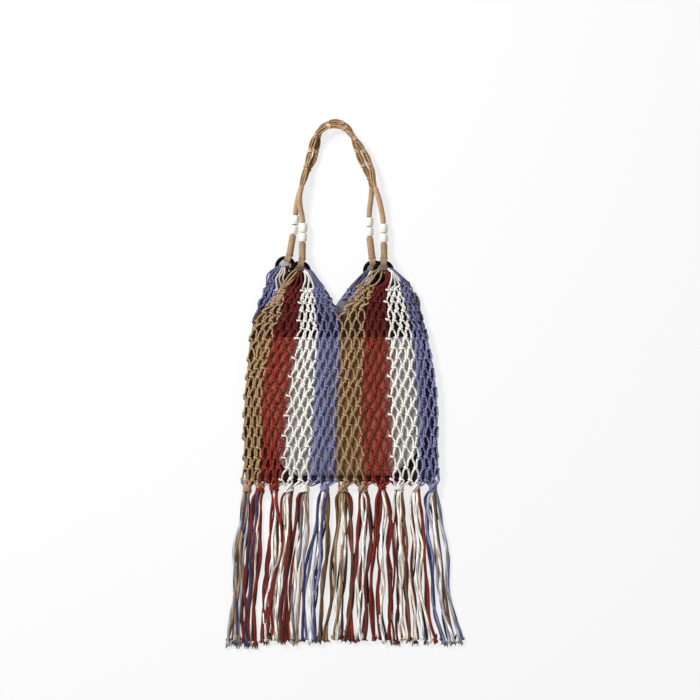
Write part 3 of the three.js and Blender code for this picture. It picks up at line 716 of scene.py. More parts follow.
def dye_and_painted_light_palette(colours):
    """Cord colours by the letter that the tables use. D, K, G and N are tan, red, white and blue cord
    darkened as painted shade, L is blue lightened as a painted highlight and P is white with a painted
    pink reflection of the red cords.
    """
    tan, red, white, blue = (
        np.array(value) for value in (colours.tan, colours.red, colours.white, colours.blue)
    )
    return {
        "T": tan,
        "D": tan * (0.34, 0.27, 0.24),
        "R": red,
        "K": red * 0.32 + tan * 0.04,
        "W": white,
        "P": white * (1.0, 0.84, 0.75),
        "G": white * (0.2, 0.19, 0.22),
        "B": blue,
        "L": blue * 0.55 + white * 0.42,
        "N": blue * (0.22, 0.22, 0.34),
    }


# ---- net shapes ----
def net_height(arch, x, y):
    """Height of the cords' centres of one face of the sack."""
    left, right, full = table_row(SACK_SECTIONS, y)
    inset = max(min(x - left, right - x), ARCH_INSET[0])
    return np.interp(inset, ARCH_INSET, arch) * full


def place_across(face, u, y, right_half):
    """Where a cord lies at y, when it is u columns from the left edge of the face."""
    edges = np.split(np.array(table_row(EDGES[face], y)), 2)[right_half]
    first = COLUMNS / 2 * right_half
    return np.interp(u, np.linspace(first, first + COLUMNS / 2, len(edges)), edges)


class NetFace:
    """One face of the net: where its knots lie and how its cords run."""

    def __init__(self, name, rng, wander):
        self.name = name
        self.front = name == "front"
        self.rng = rng
        self.wander = wander
        self.arch = FRONT_ARCH if self.front else BACK_ARCH
        self.out = 1 if self.front else -BACK_KNOT_DEPTH
        self.knots = {}

    def knot(self, row, twice_u, right_half):
        """Middle, size and lean of a knot, the same for both of its cords."""
        level = ROW_LEVELS[row]
        key = (row, twice_u, right_half and twice_u == COLUMNS and level > NECK_FOOT)
        if key not in self.knots:
            rng = self.rng
            x = place_across(self.name, twice_u / 2, level, right_half)
            edge = twice_u in (0, 2 * COLUMNS)
            x += rng.gauss(0, self.wander * 0.8) * (EDGE_STRAY if edge else 1)
            x += EDGE_INSET * edge * (1 if twice_u == 0 else -1)
            y = level + rng.gauss(0, self.wander)
            if self.front:
                skew = RIGHT_SKEW if right_half else LEFT_SKEW
                y += table_row(skew, x)[0] * np.interp(level, SKEW_LEVELS, (0, 1))
            size = rng.uniform(*KNOT_SIZES) * np.interp(level, TOP_LEVELS, (1, TOP_KNOT_SIZE))
            self.knots[key] = (x, y, size, rng.gauss(0, KNOT_LEAN))
        return self.knots[key]

    def bend(self, x, y, offsets):
        """Places offsets across, along and out from the face at x, y."""
        z = net_height(self.arch, x, y)
        if not self.front:
            levels = LEFT_STRAP_LEVELS if x < LEFT_STRAP_SIDE else RIGHT_STRAP_LEVELS
            raised = np.interp(y, levels, (0, 1)) * np.interp(x, STRAP_ACROSS, STRAP_SHARE)
            z = (z + BACK_KNOT_LIFT) * (1 - raised) + STRAP_HEIGHT * raised
        slope = net_height(self.arch, x + 1.5, y) - net_height(self.arch, x - 1.5, y)
        across = Vector((3, 0, slope)).normalized()
        out = Vector((-across.z, 0, across.x)) * self.out
        return [
            (x + a * across.x + o * out.x, y + b, z + a * across.z + o * out.z)
            for a, b, o in offsets
        ]

    def cord(self, index, first_row):
        """Way points of one cord from its first knot down to the fringe."""
        column, odd = divmod(index, 2)
        right_half = column >= COLUMNS // 2
        points = []
        previous = None
        for row in range(first_row, len(ROW_LEVELS)):
            even_row = row % 2 == 0
            twice_u = 2 * column + (1 if even_row else 2 * odd)
            wraps = even_row == bool(odd)
            x, y, size, lean = self.knot(row, twice_u, right_half)
            if twice_u in (0, 2 * COLUMNS):
                size *= EDGE_KNOT_SIZE
                wraps = wraps and self.front
            if previous:
                across, down = LEG_SWING
                leg_x = previous[0] + (x - previous[0]) * across + self.rng.gauss(0, LEG_STRAY)
                leg_y = previous[1] + (y - previous[1]) * down
                points += self.bend(leg_x, leg_y, [(0, 0, self.rng.uniform(0, LEG_BOW))])
            previous = (x, y)
            shape = (KNOT_WRAP if wraps else KNOT_STRAIGHT) * size
            cos, sin = math.cos(lean), math.sin(lean)
            shape[:, :2] = shape[:, :2] @ ((cos, sin), (-sin, cos))
            points += self.bend(x, y, shape)
        return points


# The free cords of each colour below a ring. Each row is a spot that the first and then the last
# of them pass: across and up from the ring's middle.
FANS = {
    "ring_front_left": {
        "tan": [(-5, 4.5, -1, 2), (-15.6, -3.2, -7.2, -10.4), (-25, -17, -17.5, -19)],
        "red": [(-2, 2, 3, 2), (-9, -11, 5.5, -8), (-15, -20, 5, -20)],
        "white": [(2, 3, 6, 3), (7.5, -3.5, 13, -4), (8.6, -13, 19, -16), (5, -22, 22, -27)],
        "blue": [(6, 2.5, 9, 3), (16, -2, 18.5, 0), (21.5, -17, 29, -14), (24.5, -27, 38, -25)],
    },
    "ring_front_right": {
        "tan": [(-6, 3, -1, 2), (-20, -5, -3, -3), (-30, -15, -5, -13), (-37, -22, -12, -22)],
        "red": [(1, 1, 7, 1), (5, -7, 12, -9), (3, -17, 11, -19), (-7, -25, 6, -26)],
        "white": [(7, 3, 9, 3), (13, -1.5, 17, -3), (14, -11, 23, -15), (11, -22, 27, -25)],
        "blue": [(9, 3, 11, 4.5), (20, -3, 19, 1), (27, -12, 31, -10), (30, -19, 40, -18)],
    },
    "ring_back_left": {
        "blue": [(-7, 2, -6, 1), (-20.5, -5, -12, -9.5), (-29.5, -14, -19, -20)],
        "white": [(-5, 2, 0, 1), (-9.6, -9.7, 1.4, -9), (-15, -20, -1.6, -20)],
        "red": [(0, 1, 6, 1), (3, -9, 16, -10), (3, -20, 19, -20)],
        "tan": [(6, 1, 7, 1), (18, -10, 26, -11), (25, -20, 36, -22)],
    },
    "ring_back_right": {
        "blue": [(-6, 2, -4, 1), (-16, -4.5, -9, -10), (-25, -14, -17, -20)],
        "white": [(-4, 1, 0, 1), (-9, -11, -3, -12), (-16, -20, -7, -22)],
        "red": [(0, 1, 4, 1), (0, -12, 10, -12), (-2, -22, 16, -22)],
        "tan": [(4, 1, 7, 2), (12, -10, 18, -6), (24, -20, 38, -16)],
    },
}
FAN_STRAY = 0.5
# How far the lower and the upper cords of a fan bend up between ring and net.
FAN_SWELLS = (-0.6, 2.0)
# Painted light on the fans: how bright a fan is beside the net below it, the back's fans darker as
# painted shade inside the bag, and how much less so its lower cords are, as painted shade between
# the cords.
FAN_UNDER_PAINTED_SHADE = 0.42
FAN_PAINTED_LIGHT = {
    "ring_front_left": {"blue": 0.85},
    "ring_front_right": {"red": 1.35, "tan": 0.92},
    "ring_back_left": {"blue": 0.85, "white": 0.72, "red": 0.5},
    "ring_back_right": {"blue": 0.5, "white": 0.8, "tan": 0.7},
}
# Height of a cord over the middle of a ring, by its distance from there.
WIRE_REACH = [5, 10.8, 14, 17.4, 21, 26]
WIRE_CLEARANCE = [2.2, 3.9, 5.0, 4.2, 2.4, 0]


def fan_cord(ring, colour, share, over, target, rng):
    """A free cord from the lashing, over or under the ring's wire, to the first knots."""
    (x, y, z), _ = RINGS[ring]
    ways = np.array(FANS[ring][colour])
    spots = ways[:, :2] * (1 - share) + ways[:, 2:] * share + (x, y)
    spots[1:] += [(rng.gauss(0, FAN_STRAY), rng.gauss(0, FAN_STRAY)) for _ in spots[1:]]
    line = smooth_path(np.vstack([spots, target[:2]]), 3)[:-1]
    reach = np.hypot(line[:, 0] - x, line[:, 1] - y)
    whole = math.hypot(target[0] - x, target[1] - y)
    clear = np.interp(reach, WIRE_REACH, WIRE_CLEARANCE)
    share_down = np.clip((reach - WIRE_REACH[3]) / (whole - WIRE_REACH[3]), 0, 1)
    swell = np.sin(math.pi * share_down) * FAN_SWELLS[over]
    level = z * (1 - share_down) + target[2] * share_down
    height = level + (clear if over else -clear) + swell + rng.uniform(-0.5, 0.5)
    return np.column_stack([line, height])


def gather_points(index, last, side, rng):
    """Way points from the last knot into the gather knot below it."""
    middle = TASSELS[index // 4][0]
    share = (index % 4 - 1.5) / 1.5
    x = middle + share * 4.2 + rng.gauss(0, 0.4)
    return [
        (last[0] * 0.45 + x * 0.55, last[1] - 4.5, last[2] * 0.7 + 2.4),
        (x, FRINGE_KNOT_LEVEL + 5.5, GATHER_HEIGHT + side * rng.uniform(1.4, 2.6)),
        (middle + share * 2.4, FRINGE_KNOT_LEVEL, GATHER_HEIGHT + side * 1.6),
    ]


def add_lashing(builder, ring, rng):
    """A few turns of cord round the strap's cords inside the ring."""
    (x, y, z), shade = RINGS[ring]
    dye = np.array(srgb(*shade))
    turn = np.linspace(0, TURN, 18)
    for lift, wide in LASHING_TURNS:
        loop = np.column_stack([
            x + np.cos(turn) * wide,
            y + lift + np.cos(turn + rng.uniform(-1, 1)) * 0.7,
            z + np.sin(turn) * LASHING_DEPTH,
        ])
        builder.add(loop, LASHING_CORD_RADIUS, dye * rng.uniform(0.9, 1.08))


def make_net_face(context, name):
    """One face of the net, as a piece for each colour, and its lashings."""
    colours = context.scene.net_bag_colours
    sizes = context.scene.net_bag_sizes
    rng = random.Random(NET_SEEDS[name])
    face = NetFace(name, rng, sizes.wander / MM)
    builders = {}
    for index in range(2 * COLUMNS):
        ring = f"ring_{name}_{'left' if index < COLUMNS else 'right'}"
        stripe, number = divmod(index, 2 * STRIPE_COLUMNS)
        colour = STRIPES[name][stripe]
        if (name, colour) in PAIRED:
            share = number // 2 / (STRIPE_COLUMNS - 1)
        else:
            share = number / (2 * STRIPE_COLUMNS - 1)
        over = index % 2 == 0
        knots = face.cord(index, FIRST_ROWS[name][stripe])
        fan = fan_cord(ring, colour, share, over, knots[0], rng)
        ends = gather_points(index, knots[-1], 1 if face.front else -1, rng)
        path = smooth_path(np.vstack([fan, knots, ends]), 2)
        tones, fullness, upper_painted_shade = CORD_LOOKS[colour]
        shade = np.array(getattr(colours, colour)) * rng.uniform(*tones)
        # Above the panel's hem the cords get painted shade and grow thinner.
        upper = np.interp(path[:, 1], HEM_FADE, (0, 1))[:, None]
        # Painted shade on the fans and their lower cords, fading out by the first knots.
        tone = FAN_PAINTED_LIGHT[ring].get(colour, 1) * (1 if over else FAN_UNDER_PAINTED_SHADE)
        tone = np.interp(path[:, 1], FAN_FADE, (1, tone))[:, None]
        dye = shade * (1 - upper * upper_painted_shade) * tone
        if face.front and index >= 2 * COLUMNS - SHOULDER_CORDS:
            dye = dye * (1 - upper * (1 - SHOULDER_SHADE))
        radius = sizes.cord / MM / 2 * fullness * rng.uniform(0.95, 1.06)
        radius = radius * (1 - upper[:, 0] * UPPER_THINNING)
        builder = builders.setdefault(colour, CordBuilder(6))
        builder.add(path, radius, np.minimum(dye, 1), rng.uniform(0, 50))
    for colour, builder in builders.items():
        builder.build(f"{name}_net_{colour}", "twisted_cotton", "net_cord", "net_body")
    lashings = CordBuilder(7)
    for side in ("left", "right"):
        add_lashing(lashings, f"ring_{name}_{side}", rng)
    lashings.build(f"{name}_lashings", "twisted_cotton", "net_cord", "net_body")


# ---- linings ----
def grid_sheet(name, grid, place, tint, material):
    """A sheet of cloth over a grid. place(along, across) is its middle in millimetres."""
    rows, columns = grid
    spots = [
        place(row / rows, column / columns)
        for row in range(rows + 1)
        for column in range(columns + 1)
    ]
    points = np.array(spots) * MM
    faces = []
    for row in range(rows):
        for a in range(row * (columns + 1), row * (columns + 1) + columns):
            faces.append((a, a + 1, a + columns + 2, a + columns + 1))
    # Painted light and shade for each point of the sheet.
    tints = [(*tint(x, y), 1) for x, y, _ in spots]
    mesh = new_mesh(name, points, faces, points[np.ravel(faces), :2], tint=tints)
    piece = link_piece(name, mesh, material)
    face_outward(piece)
    apply_modifier(piece, "SOLIDIFY", thickness=LINING_THICKNESS * MM, offset=0)
    return piece


def painted_stripe_light(cloth, x, y):
    """Painted colour of a cloth behind the front's stripes, softly mixed at their edges: the cords'
    painted reflection, and on the back lining painted shade.
    """
    edges = table_row(EDGES["front"], y)
    bounds = edges[:5] + edges[6:]
    mixed, total = np.zeros(3), 0
    for k, colour in enumerate(STRIPES["front"]):
        gap = max(bounds[k] - x, x - bounds[k + 1], 0)
        weight = math.exp(-(gap / STRIPE_SOFTNESS) ** 2)
        mixed += weight * np.array(srgb(*LINING_PAINTED_LIGHT[colour][cloth]))
        total += weight
    return mixed / total if total > 1e-9 else np.array(srgb(*LINING_PAINTED_LIGHT["white"][cloth]))


def drape_front(along, across):
    """A place on the front panel, which hangs just behind the front's cords."""
    foot, top = FRONT_LINING[[0, -1], 0]
    y = foot + (top - foot) * along
    left, right = table_row(FRONT_LINING, y)
    x = left + (right - left) * across
    ripple = 0.6 * math.sin(x / 17 + y / 41) * math.sin(y / 23 - x / 60)
    return x, y, net_height(FRONT_ARCH, x, y) - FRONT_LINING_DROP + ripple


def drape_back(side, neck):
    """How one half of the back lining lies, from the neck's line to its outer side."""
    top = side[-1][0]

    def place(along, across):
        foot = LINING_FOOT + 1.5 * math.sin(across * 24)
        y = foot + (top - foot) * along
        inner, = table_row(neck, y)
        outer, = table_row(side, y)
        x = inner + (outer - inner) * across
        sag = 0.7 * math.sin(x / 23 - y / 31) * math.sin(y / 37 + x / 47)
        return x, y, BACK_LINING_LEVEL + sag

    return place


def back_painted_light(grey, x, y):
    """Painted shade and light on the back lining: near black inside the sack, a painted lit grey along its
    hemmed upper edges.
    """
    gap = EDGE_WIDTH
    if y > NECK_FOOT:
        gap = min(abs(x - table_row(neck, y)[0]) for neck in (NECK_LEFT, NECK_RIGHT))
    if y > EDGE_LEVELS[0] and x > SHOULDER_SIDE:
        gap = min(gap, max(table_row(BACK_LINING_RIGHT, y)[0] - x, 0))
    near = max(0, 1 - gap / EDGE_WIDTH) * np.interp(y, EDGE_LEVELS, (0, 1))
    hem = HEM_LINE[0] < gap < HEM_LINE[1]
    share = near ** 0.45 * (1 - 0.75 * hem) * (WEAK_EDGE if x < NECK_SIDE else 1)
    foot = np.interp(y, FOOT_FADE, (1, 0))
    dark = painted_stripe_light(BACK, x, y) * (1 - foot) + painted_stripe_light(BACK_FOOT, x, y) * foot
    # In the left strap the painted shade is dark bluish, with a painted pool of light.
    if x < STRAP_CORNER[0] and y > STRAP_CORNER[1]:
        dark = np.array(srgb(*STRAP_PAINTED_SHADE))
        lit_x, lit_y, spread = LIT_SPOT
        lit = math.exp(-((x - lit_x) ** 2 + (y - lit_y) ** 2) / spread)
        dark = dark + (grey - dark) * lit
    return dark + (grey * (1.0, 1.0, 1.08) - dark) * share


# ---- beads and handles ----
def handle_path(name, step):
    """Points a fixed step apart along a handle, and the distance of each from its left end."""
    path = smooth_path(HANDLES[name]["route"], 12)
    lengths = travelled(path)
    at = np.linspace(0, lengths[-1], int(round(lengths[-1] / step)) + 1)
    return np.column_stack([np.interp(at, lengths, line) for line in path.T]), at


def turn_bead(node, middle, along, material):
    """Spins the outline into a closed bead with its bore along the handle."""
    count = len(BEAD_OUTLINE)
    points, faces = [], []
    for k in range(BEAD_SEGMENTS):
        angle = TURN * k / BEAD_SEGMENTS
        after = (k + 1) % BEAD_SEGMENTS * count
        for j, (r, z) in enumerate(BEAD_OUTLINE):
            points.append((r * math.cos(angle) * MM, r * math.sin(angle) * MM, z * MM))
            below = (j + 1) % count
            faces.append((k * count + j, after + j, after + below, k * count + below))
    mesh = new_mesh(f"{node}_turned", points, faces)
    bead = link_piece(mesh.name, mesh, material)
    mesh.transform(Matrix.Translation(middle) @ along.to_track_quat("Z", "Y").to_matrix().to_4x4())
    apply_modifier(bead, "SUBSURF", levels=1)
    face_outward(bead)
    finish_piece(bead, node)


def whipping_profile(distance, turn):
    """Helical ridges of the cord wound round the handle."""
    phase = distance / WHIPPING_PITCH - turn
    return 1 + 0.04 * (np.abs(np.sin(math.pi * phase)) - 0.5)


class HandleMaker:
    """Winds one handle along its route, from the left ring to the right one."""

    def __init__(self, name, colour):
        facts = HANDLES[name]
        self.dye = colour * facts["tone"]
        self.foot_tone = facts["foot_tone"]
        self.grip = facts["grip"]
        self.rng = random.Random(facts["seed"])
        self.path, self.distance = handle_path(name, 0.5)
        self.length = self.distance[-1]
        tangents, self.across, _ = transported(self.path)
        self.across[:, 2] = 0
        self.across /= np.linalg.norm(self.across, axis=1, keepdims=True)
        self.up = np.cross(tangents, self.across)
        self.cords = CordBuilder(8)
        self.whips = CordBuilder(16)
        left, right = facts["beads"]
        grips = self.add_end(left, False), self.add_end(right, True)
        self.add_ring_loops(f"ring_{name}_left", RING_REACH)
        self.add_ring_loops(f"ring_{name}_right", self.length - RING_REACH)
        self.add_open_part(*grips, facts["ties"])

    def stretch(self, start, end):
        """The points between two distances."""
        return np.flatnonzero((self.distance >= start) & (self.distance <= end))

    def around(self, k, turns, wide, high):
        """Points that turn round the handle at its points k."""
        return (
            self.path[k]
            + self.across[k] * (np.cos(turns) * wide)[:, None]
            + self.up[k] * (np.sin(turns) * high)[:, None]
        )

    def add_end(self, bead, flip):
        """Whips one end below, inside and above its beads. Gives where the whipping stops."""
        below = bead - BEAD_LENGTH / 2
        above = bead + BEAD_PITCH + BEAD_LENGTH / 2
        stop = above + self.grip
        for start, end, radius, tone in (
            (WHIPPING_START, below - 0.5, FOOT_RADIUS, self.foot_tone),
            (below - 2, above + 2, NECK_RADIUS, NECK_TONE),
            (above + 0.5, stop, GRIP_RADIUS, 1),
        ):
            if flip:
                start, end = self.length - end, self.length - start
            self.whip(start, end, radius, tone)
        turns = np.linspace(0, 2 * TURN, 32)
        at = COLLAR_START + turns / TURN * COLLAR_PITCH
        k = np.searchsorted(self.distance, self.length - at if flip else at)
        collar = self.around(k, turns, COLLAR_RADIUS, COLLAR_RADIUS)
        self.cords.add(collar, COLLAR_CORD_RADIUS, self.dye * COLLAR_TONE, sides=6)
        return self.length - stop if flip else stop

    def whip(self, start, end, radius, tone):
        """A stretch wound closely with cord, rounded off at both ends."""
        chosen = self.stretch(start, end)
        at = self.distance[chosen]
        ends = np.minimum(at - at[0], at[-1] - at)
        radii = radius * np.minimum(0.55 + ends / 2.5, 1) ** 0.5
        shade = self.dye * tone * self.rng.uniform(0.88, 1.04)
        shade = shade * (1, self.rng.uniform(0.95, 1.03), self.rng.uniform(0.92, 1.05))
        self.whips.add(self.path[chosen], radii, shade, at[0], profile=whipping_profile)

    def add_ring_loops(self, ring, near):
        """Cords of the handle that pass round the top of the ring's wire."""
        (x, y, z), _ = RINGS[ring]
        ahead = self.path[np.searchsorted(self.distance, near)][:2] - (x, y)
        ahead /= np.linalg.norm(ahead)
        aside = np.array([-ahead[1], ahead[0]])
        reach, lift = RING_BRIDGE.T
        for offset in BRIDGE_OFFSETS:
            spread = offset * (1 - np.maximum(reach, 0) * 0.02)
            spots = (x, y) + np.outer(RING_RADIUS + reach, ahead) + np.outer(spread, aside)
            for side in (1, -1):
                loop = smooth_path(np.column_stack([spots, z + lift * side]), 2)
                shade = self.dye * self.foot_tone * self.rng.uniform(0.8, 0.9)
                self.cords.add(loop, BRIDGE_CORD_RADIUS, shade)

    def add_open_part(self, left, right, ties):
        """Loose strands between the grips, drawn together by small ties."""
        rng = self.rng
        start, end = left - OPEN_OVERLAP, right + OPEN_OVERLAP
        chosen = self.stretch(start, end)[::4]
        at = self.distance[chosen]
        side, rise = self.across[chosen], self.up[chosen]
        stops = np.array([start, *ties, end])
        cell = np.searchsorted(stops, at, side="right").clip(1, len(stops) - 1)
        share = (at - stops[cell - 1]) / (stops[cell] - stops[cell - 1])
        bulge = np.sin(math.pi * share.clip(0, 1)) ** 0.8
        for lane, (offset, lift, radius, tone) in enumerate(OPEN_LANES):
            x = offset * (0.5 + 0.85 * bulge) + np.sin(at / 19 + lane * 2.1) * 0.5
            z = lift * (0.8 + 0.5 * bulge)
            strand = self.path[chosen] + side * x[:, None] + rise * z[:, None]
            # The lane's painted shade, times a random tone along the strand.
            tones = tone * np.interp(at, stops, [rng.uniform(0.72, 1.24) for _ in stops])
            shade = np.minimum(self.dye * OPEN_TINT * tones[:, None], 1)
            self.cords.add(strand, radius, shade, rng.uniform(0, 30))
        turns = np.linspace(0, TIE_TURNS * TURN, 30)
        for tie in ties:
            k = np.argmin(np.abs(self.distance - tie))
            lean = rng.uniform(-0.9, 0.9)
            tone = rng.uniform(0.8, 1.35)
            ahead = self.path[k + 2] - self.path[k]
            ahead /= np.linalg.norm(ahead)
            slant = (turns / TURN - 1.1) * TIE_PITCH + np.cos(turns) * lean * 2
            coil = self.around(k, turns, TIE_WIDTH, TIE_HEIGHT) + np.outer(slant, ahead)
            self.cords.add(coil, TIE_CORD_RADIUS, np.minimum(self.dye * tone, 1), sides=6)


# ---- fringe ----
def add_tassel(builder, tassel, rise, dyes_and_painted_light, radius, rng):
    """The strands of one tassel with their frayed tips, over a few strands painted dark as shade."""
    middle, letters, _, lefts, rights = tassel
    last = STRANDS_PER_TASSEL - 1
    order = list(range(STRANDS_PER_TASSEL))
    rng.shuffle(order)
    strands = []
    # Strands painted dark as the shade under the tassel.
    for k in range(UNDER_STRANDS):
        letter = letters[k * last // (UNDER_STRANDS - 1)]
        dye = dyes_and_painted_light[letter] * UNDER_STRAND_PAINTED_SHADES.get(letter, UNDER_STRAND_PAINTED_SHADE)
        strands.append((dye, (k + 0.5) / UNDER_STRANDS, 0, UNDER_SIZE))
    for k, letter in enumerate(letters):
        layer = order[k] / last
        # Lower strands are darker as painted shade.
        dye = dyes_and_painted_light[letter] * FRINGE_DYE.get(letter, 1) * np.interp(layer, (0, 1), LAYER_PAINTED_SHADES)
        strands.append((dye * rng.uniform(0.92, 1.08), k / last, layer, 1))
    for dye, share, layer, size in strands:
        points = [
            (middle + (share - 0.5) * 8, FRINGE_KNOT_LEVEL + 6, 4.5 + 5 * layer),
            (middle + (share - 0.5) * 9, FRINGE_KNOT_LEVEL - 2, 4 + 5 * layer),
        ]
        wave = rng.uniform(0, 6.28)
        swing = rng.uniform(*SWINGS)
        fan = share
        for y in FRINGE_STEPS:
            low = np.interp(-y, FRINGE_DEPTHS, lefts)
            high = np.interp(-y, FRINGE_DEPTHS, rights)
            fan = min(max(0.75 * fan + 0.25 * share + rng.gauss(0, 0.05), 0.0), 1.0)
            pull = BUNCH_PULL * min(1, (FRINGE_TOP - y) / 60)
            spread = fan + (round(share * 2) / 2 - fan) * pull
            x = low + radius + (high - low - 2 * radius) * spread
            x += swing * math.sin(y / 19 + wave) * min(1, (FRINGE_TOP - y) / 30)
            z = radius + 0.2 + LAYER_LIFT * layer * (0.7 + 0.3 * math.sin(y / 27 + wave))
            points.append((x, y, z))
        end = TIP_LEVEL + rise + (rng.uniform(*TIP_STRAY) if size == 1 else UNDER_TIP_RISE)
        points.append((x + rng.gauss(0, 1.2), end, max(radius, z * 0.8)))
        path = smooth_path(points, 3)
        radii = np.full(len(path), radius) * size * rng.uniform(0.88, 1.08)
        radii[-3:] *= TIP_TAPER
        builder.add(path, radii, np.minimum(dye, 1), rng.uniform(0, 40))
        if size == 1:
            fray_tip(builder, path[-4], path[-1], dye, rng)


def fray_tip(builder, root, tip, dye, rng):
    """Fine hairs that spread from the end of a strand."""
    for spread in np.linspace(-1, 1, TIP_HAIRS):
        start = root + (spread * 1.2, 0, rng.uniform(-0.6, 0.8))
        aside = spread * 4.4 + rng.gauss(0, 0.9)
        end = tip + (aside, -rng.uniform(-1, 5.5), rng.uniform(-1.2, 1.6))
        bend = (start + end) / 2 + (spread * 1.1, 0, 0)
        shade = np.minimum(dye * rng.uniform(0.5, 0.95), 1)
        builder.add([start, bend, end], [1.1, 1.1, 0.4], shade, sides=5)


def add_gather_knot(builder, middle, letters, dyes_and_painted_light, rng):
    """A few turns of cord round the gathered strands, and one loop over them."""
    turns = rng.choice([3, 4])
    first, second = (dyes_and_painted_light[letter] for letter in letters)
    angle = np.linspace(0.6, turns * TURN + 0.6, turns * 16)
    wide = KNOT_WIDTH + rng.uniform(-0.8, 0.8) + np.sin(angle * 0.37) * 0.7
    rise = KNOT_RISE - angle / TURN * KNOT_PITCH + np.cos(angle) * rng.uniform(-1.8, 1.8)
    coil = np.column_stack([
        middle + np.cos(angle) * wide,
        FRINGE_KNOT_LEVEL + rise,
        KNOT_HEIGHT + np.sin(angle) * KNOT_DEPTH,
    ])
    cut = len(coil) // 2
    builder.add(coil[:cut + 1], KNOT_CORD_RADIUS, first * rng.uniform(0.9, 1.05))
    builder.add(coil[cut:], KNOT_CORD_RADIUS, second * rng.uniform(0.8, 1.0))
    loop = KNOT_LOOP * (rng.choice([-1, 1]), 1, 1) + (middle, FRINGE_KNOT_LEVEL, 0)
    builder.add(smooth_path(loop, 4), KNOT_CORD_RADIUS, second * rng.uniform(0.85, 1.1))


# ---- operators ----
CAMERA_PLACE = (0.0173, 0.0429, 3.861)
FLOOR_GLOW = 0.78
SKY_LIGHT = 0.26


def add_light(context, name, place, size, power):
    lamp = bpy.data.lights.new(name, "AREA")
    lamp.size = size
    lamp.energy = power
    light = bpy.data.objects.new(name, lamp)
    light.location = place
    light.rotation_euler = (-Vector(place)).to_track_quat("-Z", "Y").to_euler()
    context.scene.collection.objects.link(light)


class NETBAG_OT_stage(bpy.types.Operator):
    """Sets up the floor, the soft lights and the camera"""
    bl_idname = "netbag.stage"
    bl_label = "Stage"

    def execute(self, context):
        scene = context.scene
        scene.view_settings.view_transform = "Standard"
        camera = bpy.data.cameras.new("camera")
        camera.lens = 120
        camera.sensor_width = 36
        viewer = bpy.data.objects.new("camera", camera)
        viewer.location = CAMERA_PLACE
        scene.collection.objects.link(viewer)
        scene.camera = viewer

        bpy.ops.mesh.primitive_plane_add(size=12, location=(0, 0, -0.0003))
        floor = context.object
        floor.name = "floor"
        material, tree, shader = new_material(
            "studio_floor", 0.9, Specular_IOR_Level=0.0, Base_Color=(0.86, 0.86, 0.86, 1),
        )
        glow = add_node(tree, "Emission", {"Color": (1, 1, 1, 1), "Strength": 1.0})[0]
        seen = product(tree, seen_directly(tree), FLOOR_GLOW)
        mix = add_node(tree, "MixShader", {0: seen, 1: shader.outputs[0], 2: glow})[0]
        tree.links.new(mix, tree.nodes["Material Output"].inputs["Surface"])
        floor.data.materials.append(material)

        scene.world = bpy.data.worlds.new("studio")
        scene.world.use_nodes = True
        sky = scene.world.node_tree
        backdrop = sky.nodes["Background"].inputs
        backdrop["Color"].default_value = (1, 1, 1, 1)
        strength = remapped(sky, seen_directly(sky), 0.0, 1.0, SKY_LIGHT, 1.0)
        sky.links.new(strength, backdrop["Strength"])

        add_light(context, "key", (-1.6, 1.5, 1.7), 0.7, 92)
        add_light(context, "fill", (1.7, -1.0, 1.9), 1.8, 9)
        return {"FINISHED"}


class NETBAG_OT_back_net(bpy.types.Operator):
    """Ties the back face of the net, from its rings down to the fringe"""
    bl_idname = "netbag.back_net"
    bl_label = "Back Net"

    def execute(self, context):
        make_net_face(context, "back")
        return {"FINISHED"}


class NETBAG_OT_front_net(bpy.types.Operator):
    """Ties the front face of the net, from its rings down to the fringe"""
    bl_idname = "netbag.front_net"
    bl_label = "Front Net"

    def execute(self, context):
        make_net_face(context, "front")
        return {"FINISHED"}


class NETBAG_OT_linings(bpy.types.Operator):
    """Cuts and drapes the two lining sheets inside the net"""
    bl_idname = "netbag.linings"
    bl_label = "Linings"

    def execute(self, context):
        grey = np.array(context.scene.net_bag_colours.lining_grey)
        front = grid_sheet(
            "front_lining_panel", PANEL_GRID, drape_front, partial(painted_stripe_light, PANEL),
            sheet_material("front_lining_cloth", 0.1),
        )
        finish_piece(front, "lining_front")
        cloth = sheet_material("back_lining_cloth", 0.05)
        for name, side, neck, width, area, under in (
            ("left", BACK_LINING_LEFT, NECK_LEFT, 0.151, 0.0475, ("blue", "white")),
            ("right", BACK_LINING_RIGHT, NECK_RIGHT, 0.170, 0.0523, ("red", "tan")),
        ):
            half = grid_sheet(
                f"back_lining_{name}", BACK_GRID, drape_back(side, neck),
                partial(back_painted_light, grey), cloth,
            )
            finish_piece(half, "lining_back")
        return {"FINISHED"}


class NETBAG_OT_rings(bpy.types.Operator):
    """Makes the four black rings that join net and handles"""
    bl_idname = "netbag.rings"
    bl_label = "Rings"

    def execute(self, context):
        material = hard_material(
            "black_ring", context.scene.net_bag_colours.ring, 0.5, grain=(260.0, 5.0),
            light=(0.35, 0.75, 0.6, 1.6), gloss=(0.3, 0.7, 0.26, 0.5), relief=(0.05, 0.5),
            Specular_IOR_Level=0.03,
        )
        for name, (place, _) in RINGS.items():
            bpy.ops.mesh.primitive_torus_add(
                major_radius=RING_RADIUS * MM, minor_radius=RING_WIRE * MM,
                major_segments=64, minor_segments=20, location=Vector(place) * MM,
            )
            ring = context.object
            ring.name = f"{name}_smooth"
            bpy.ops.object.shade_smooth()
            bpy.ops.object.transform_apply()
            ring.data.materials.append(material)
            finish_piece(ring, name)
        return {"FINISHED"}


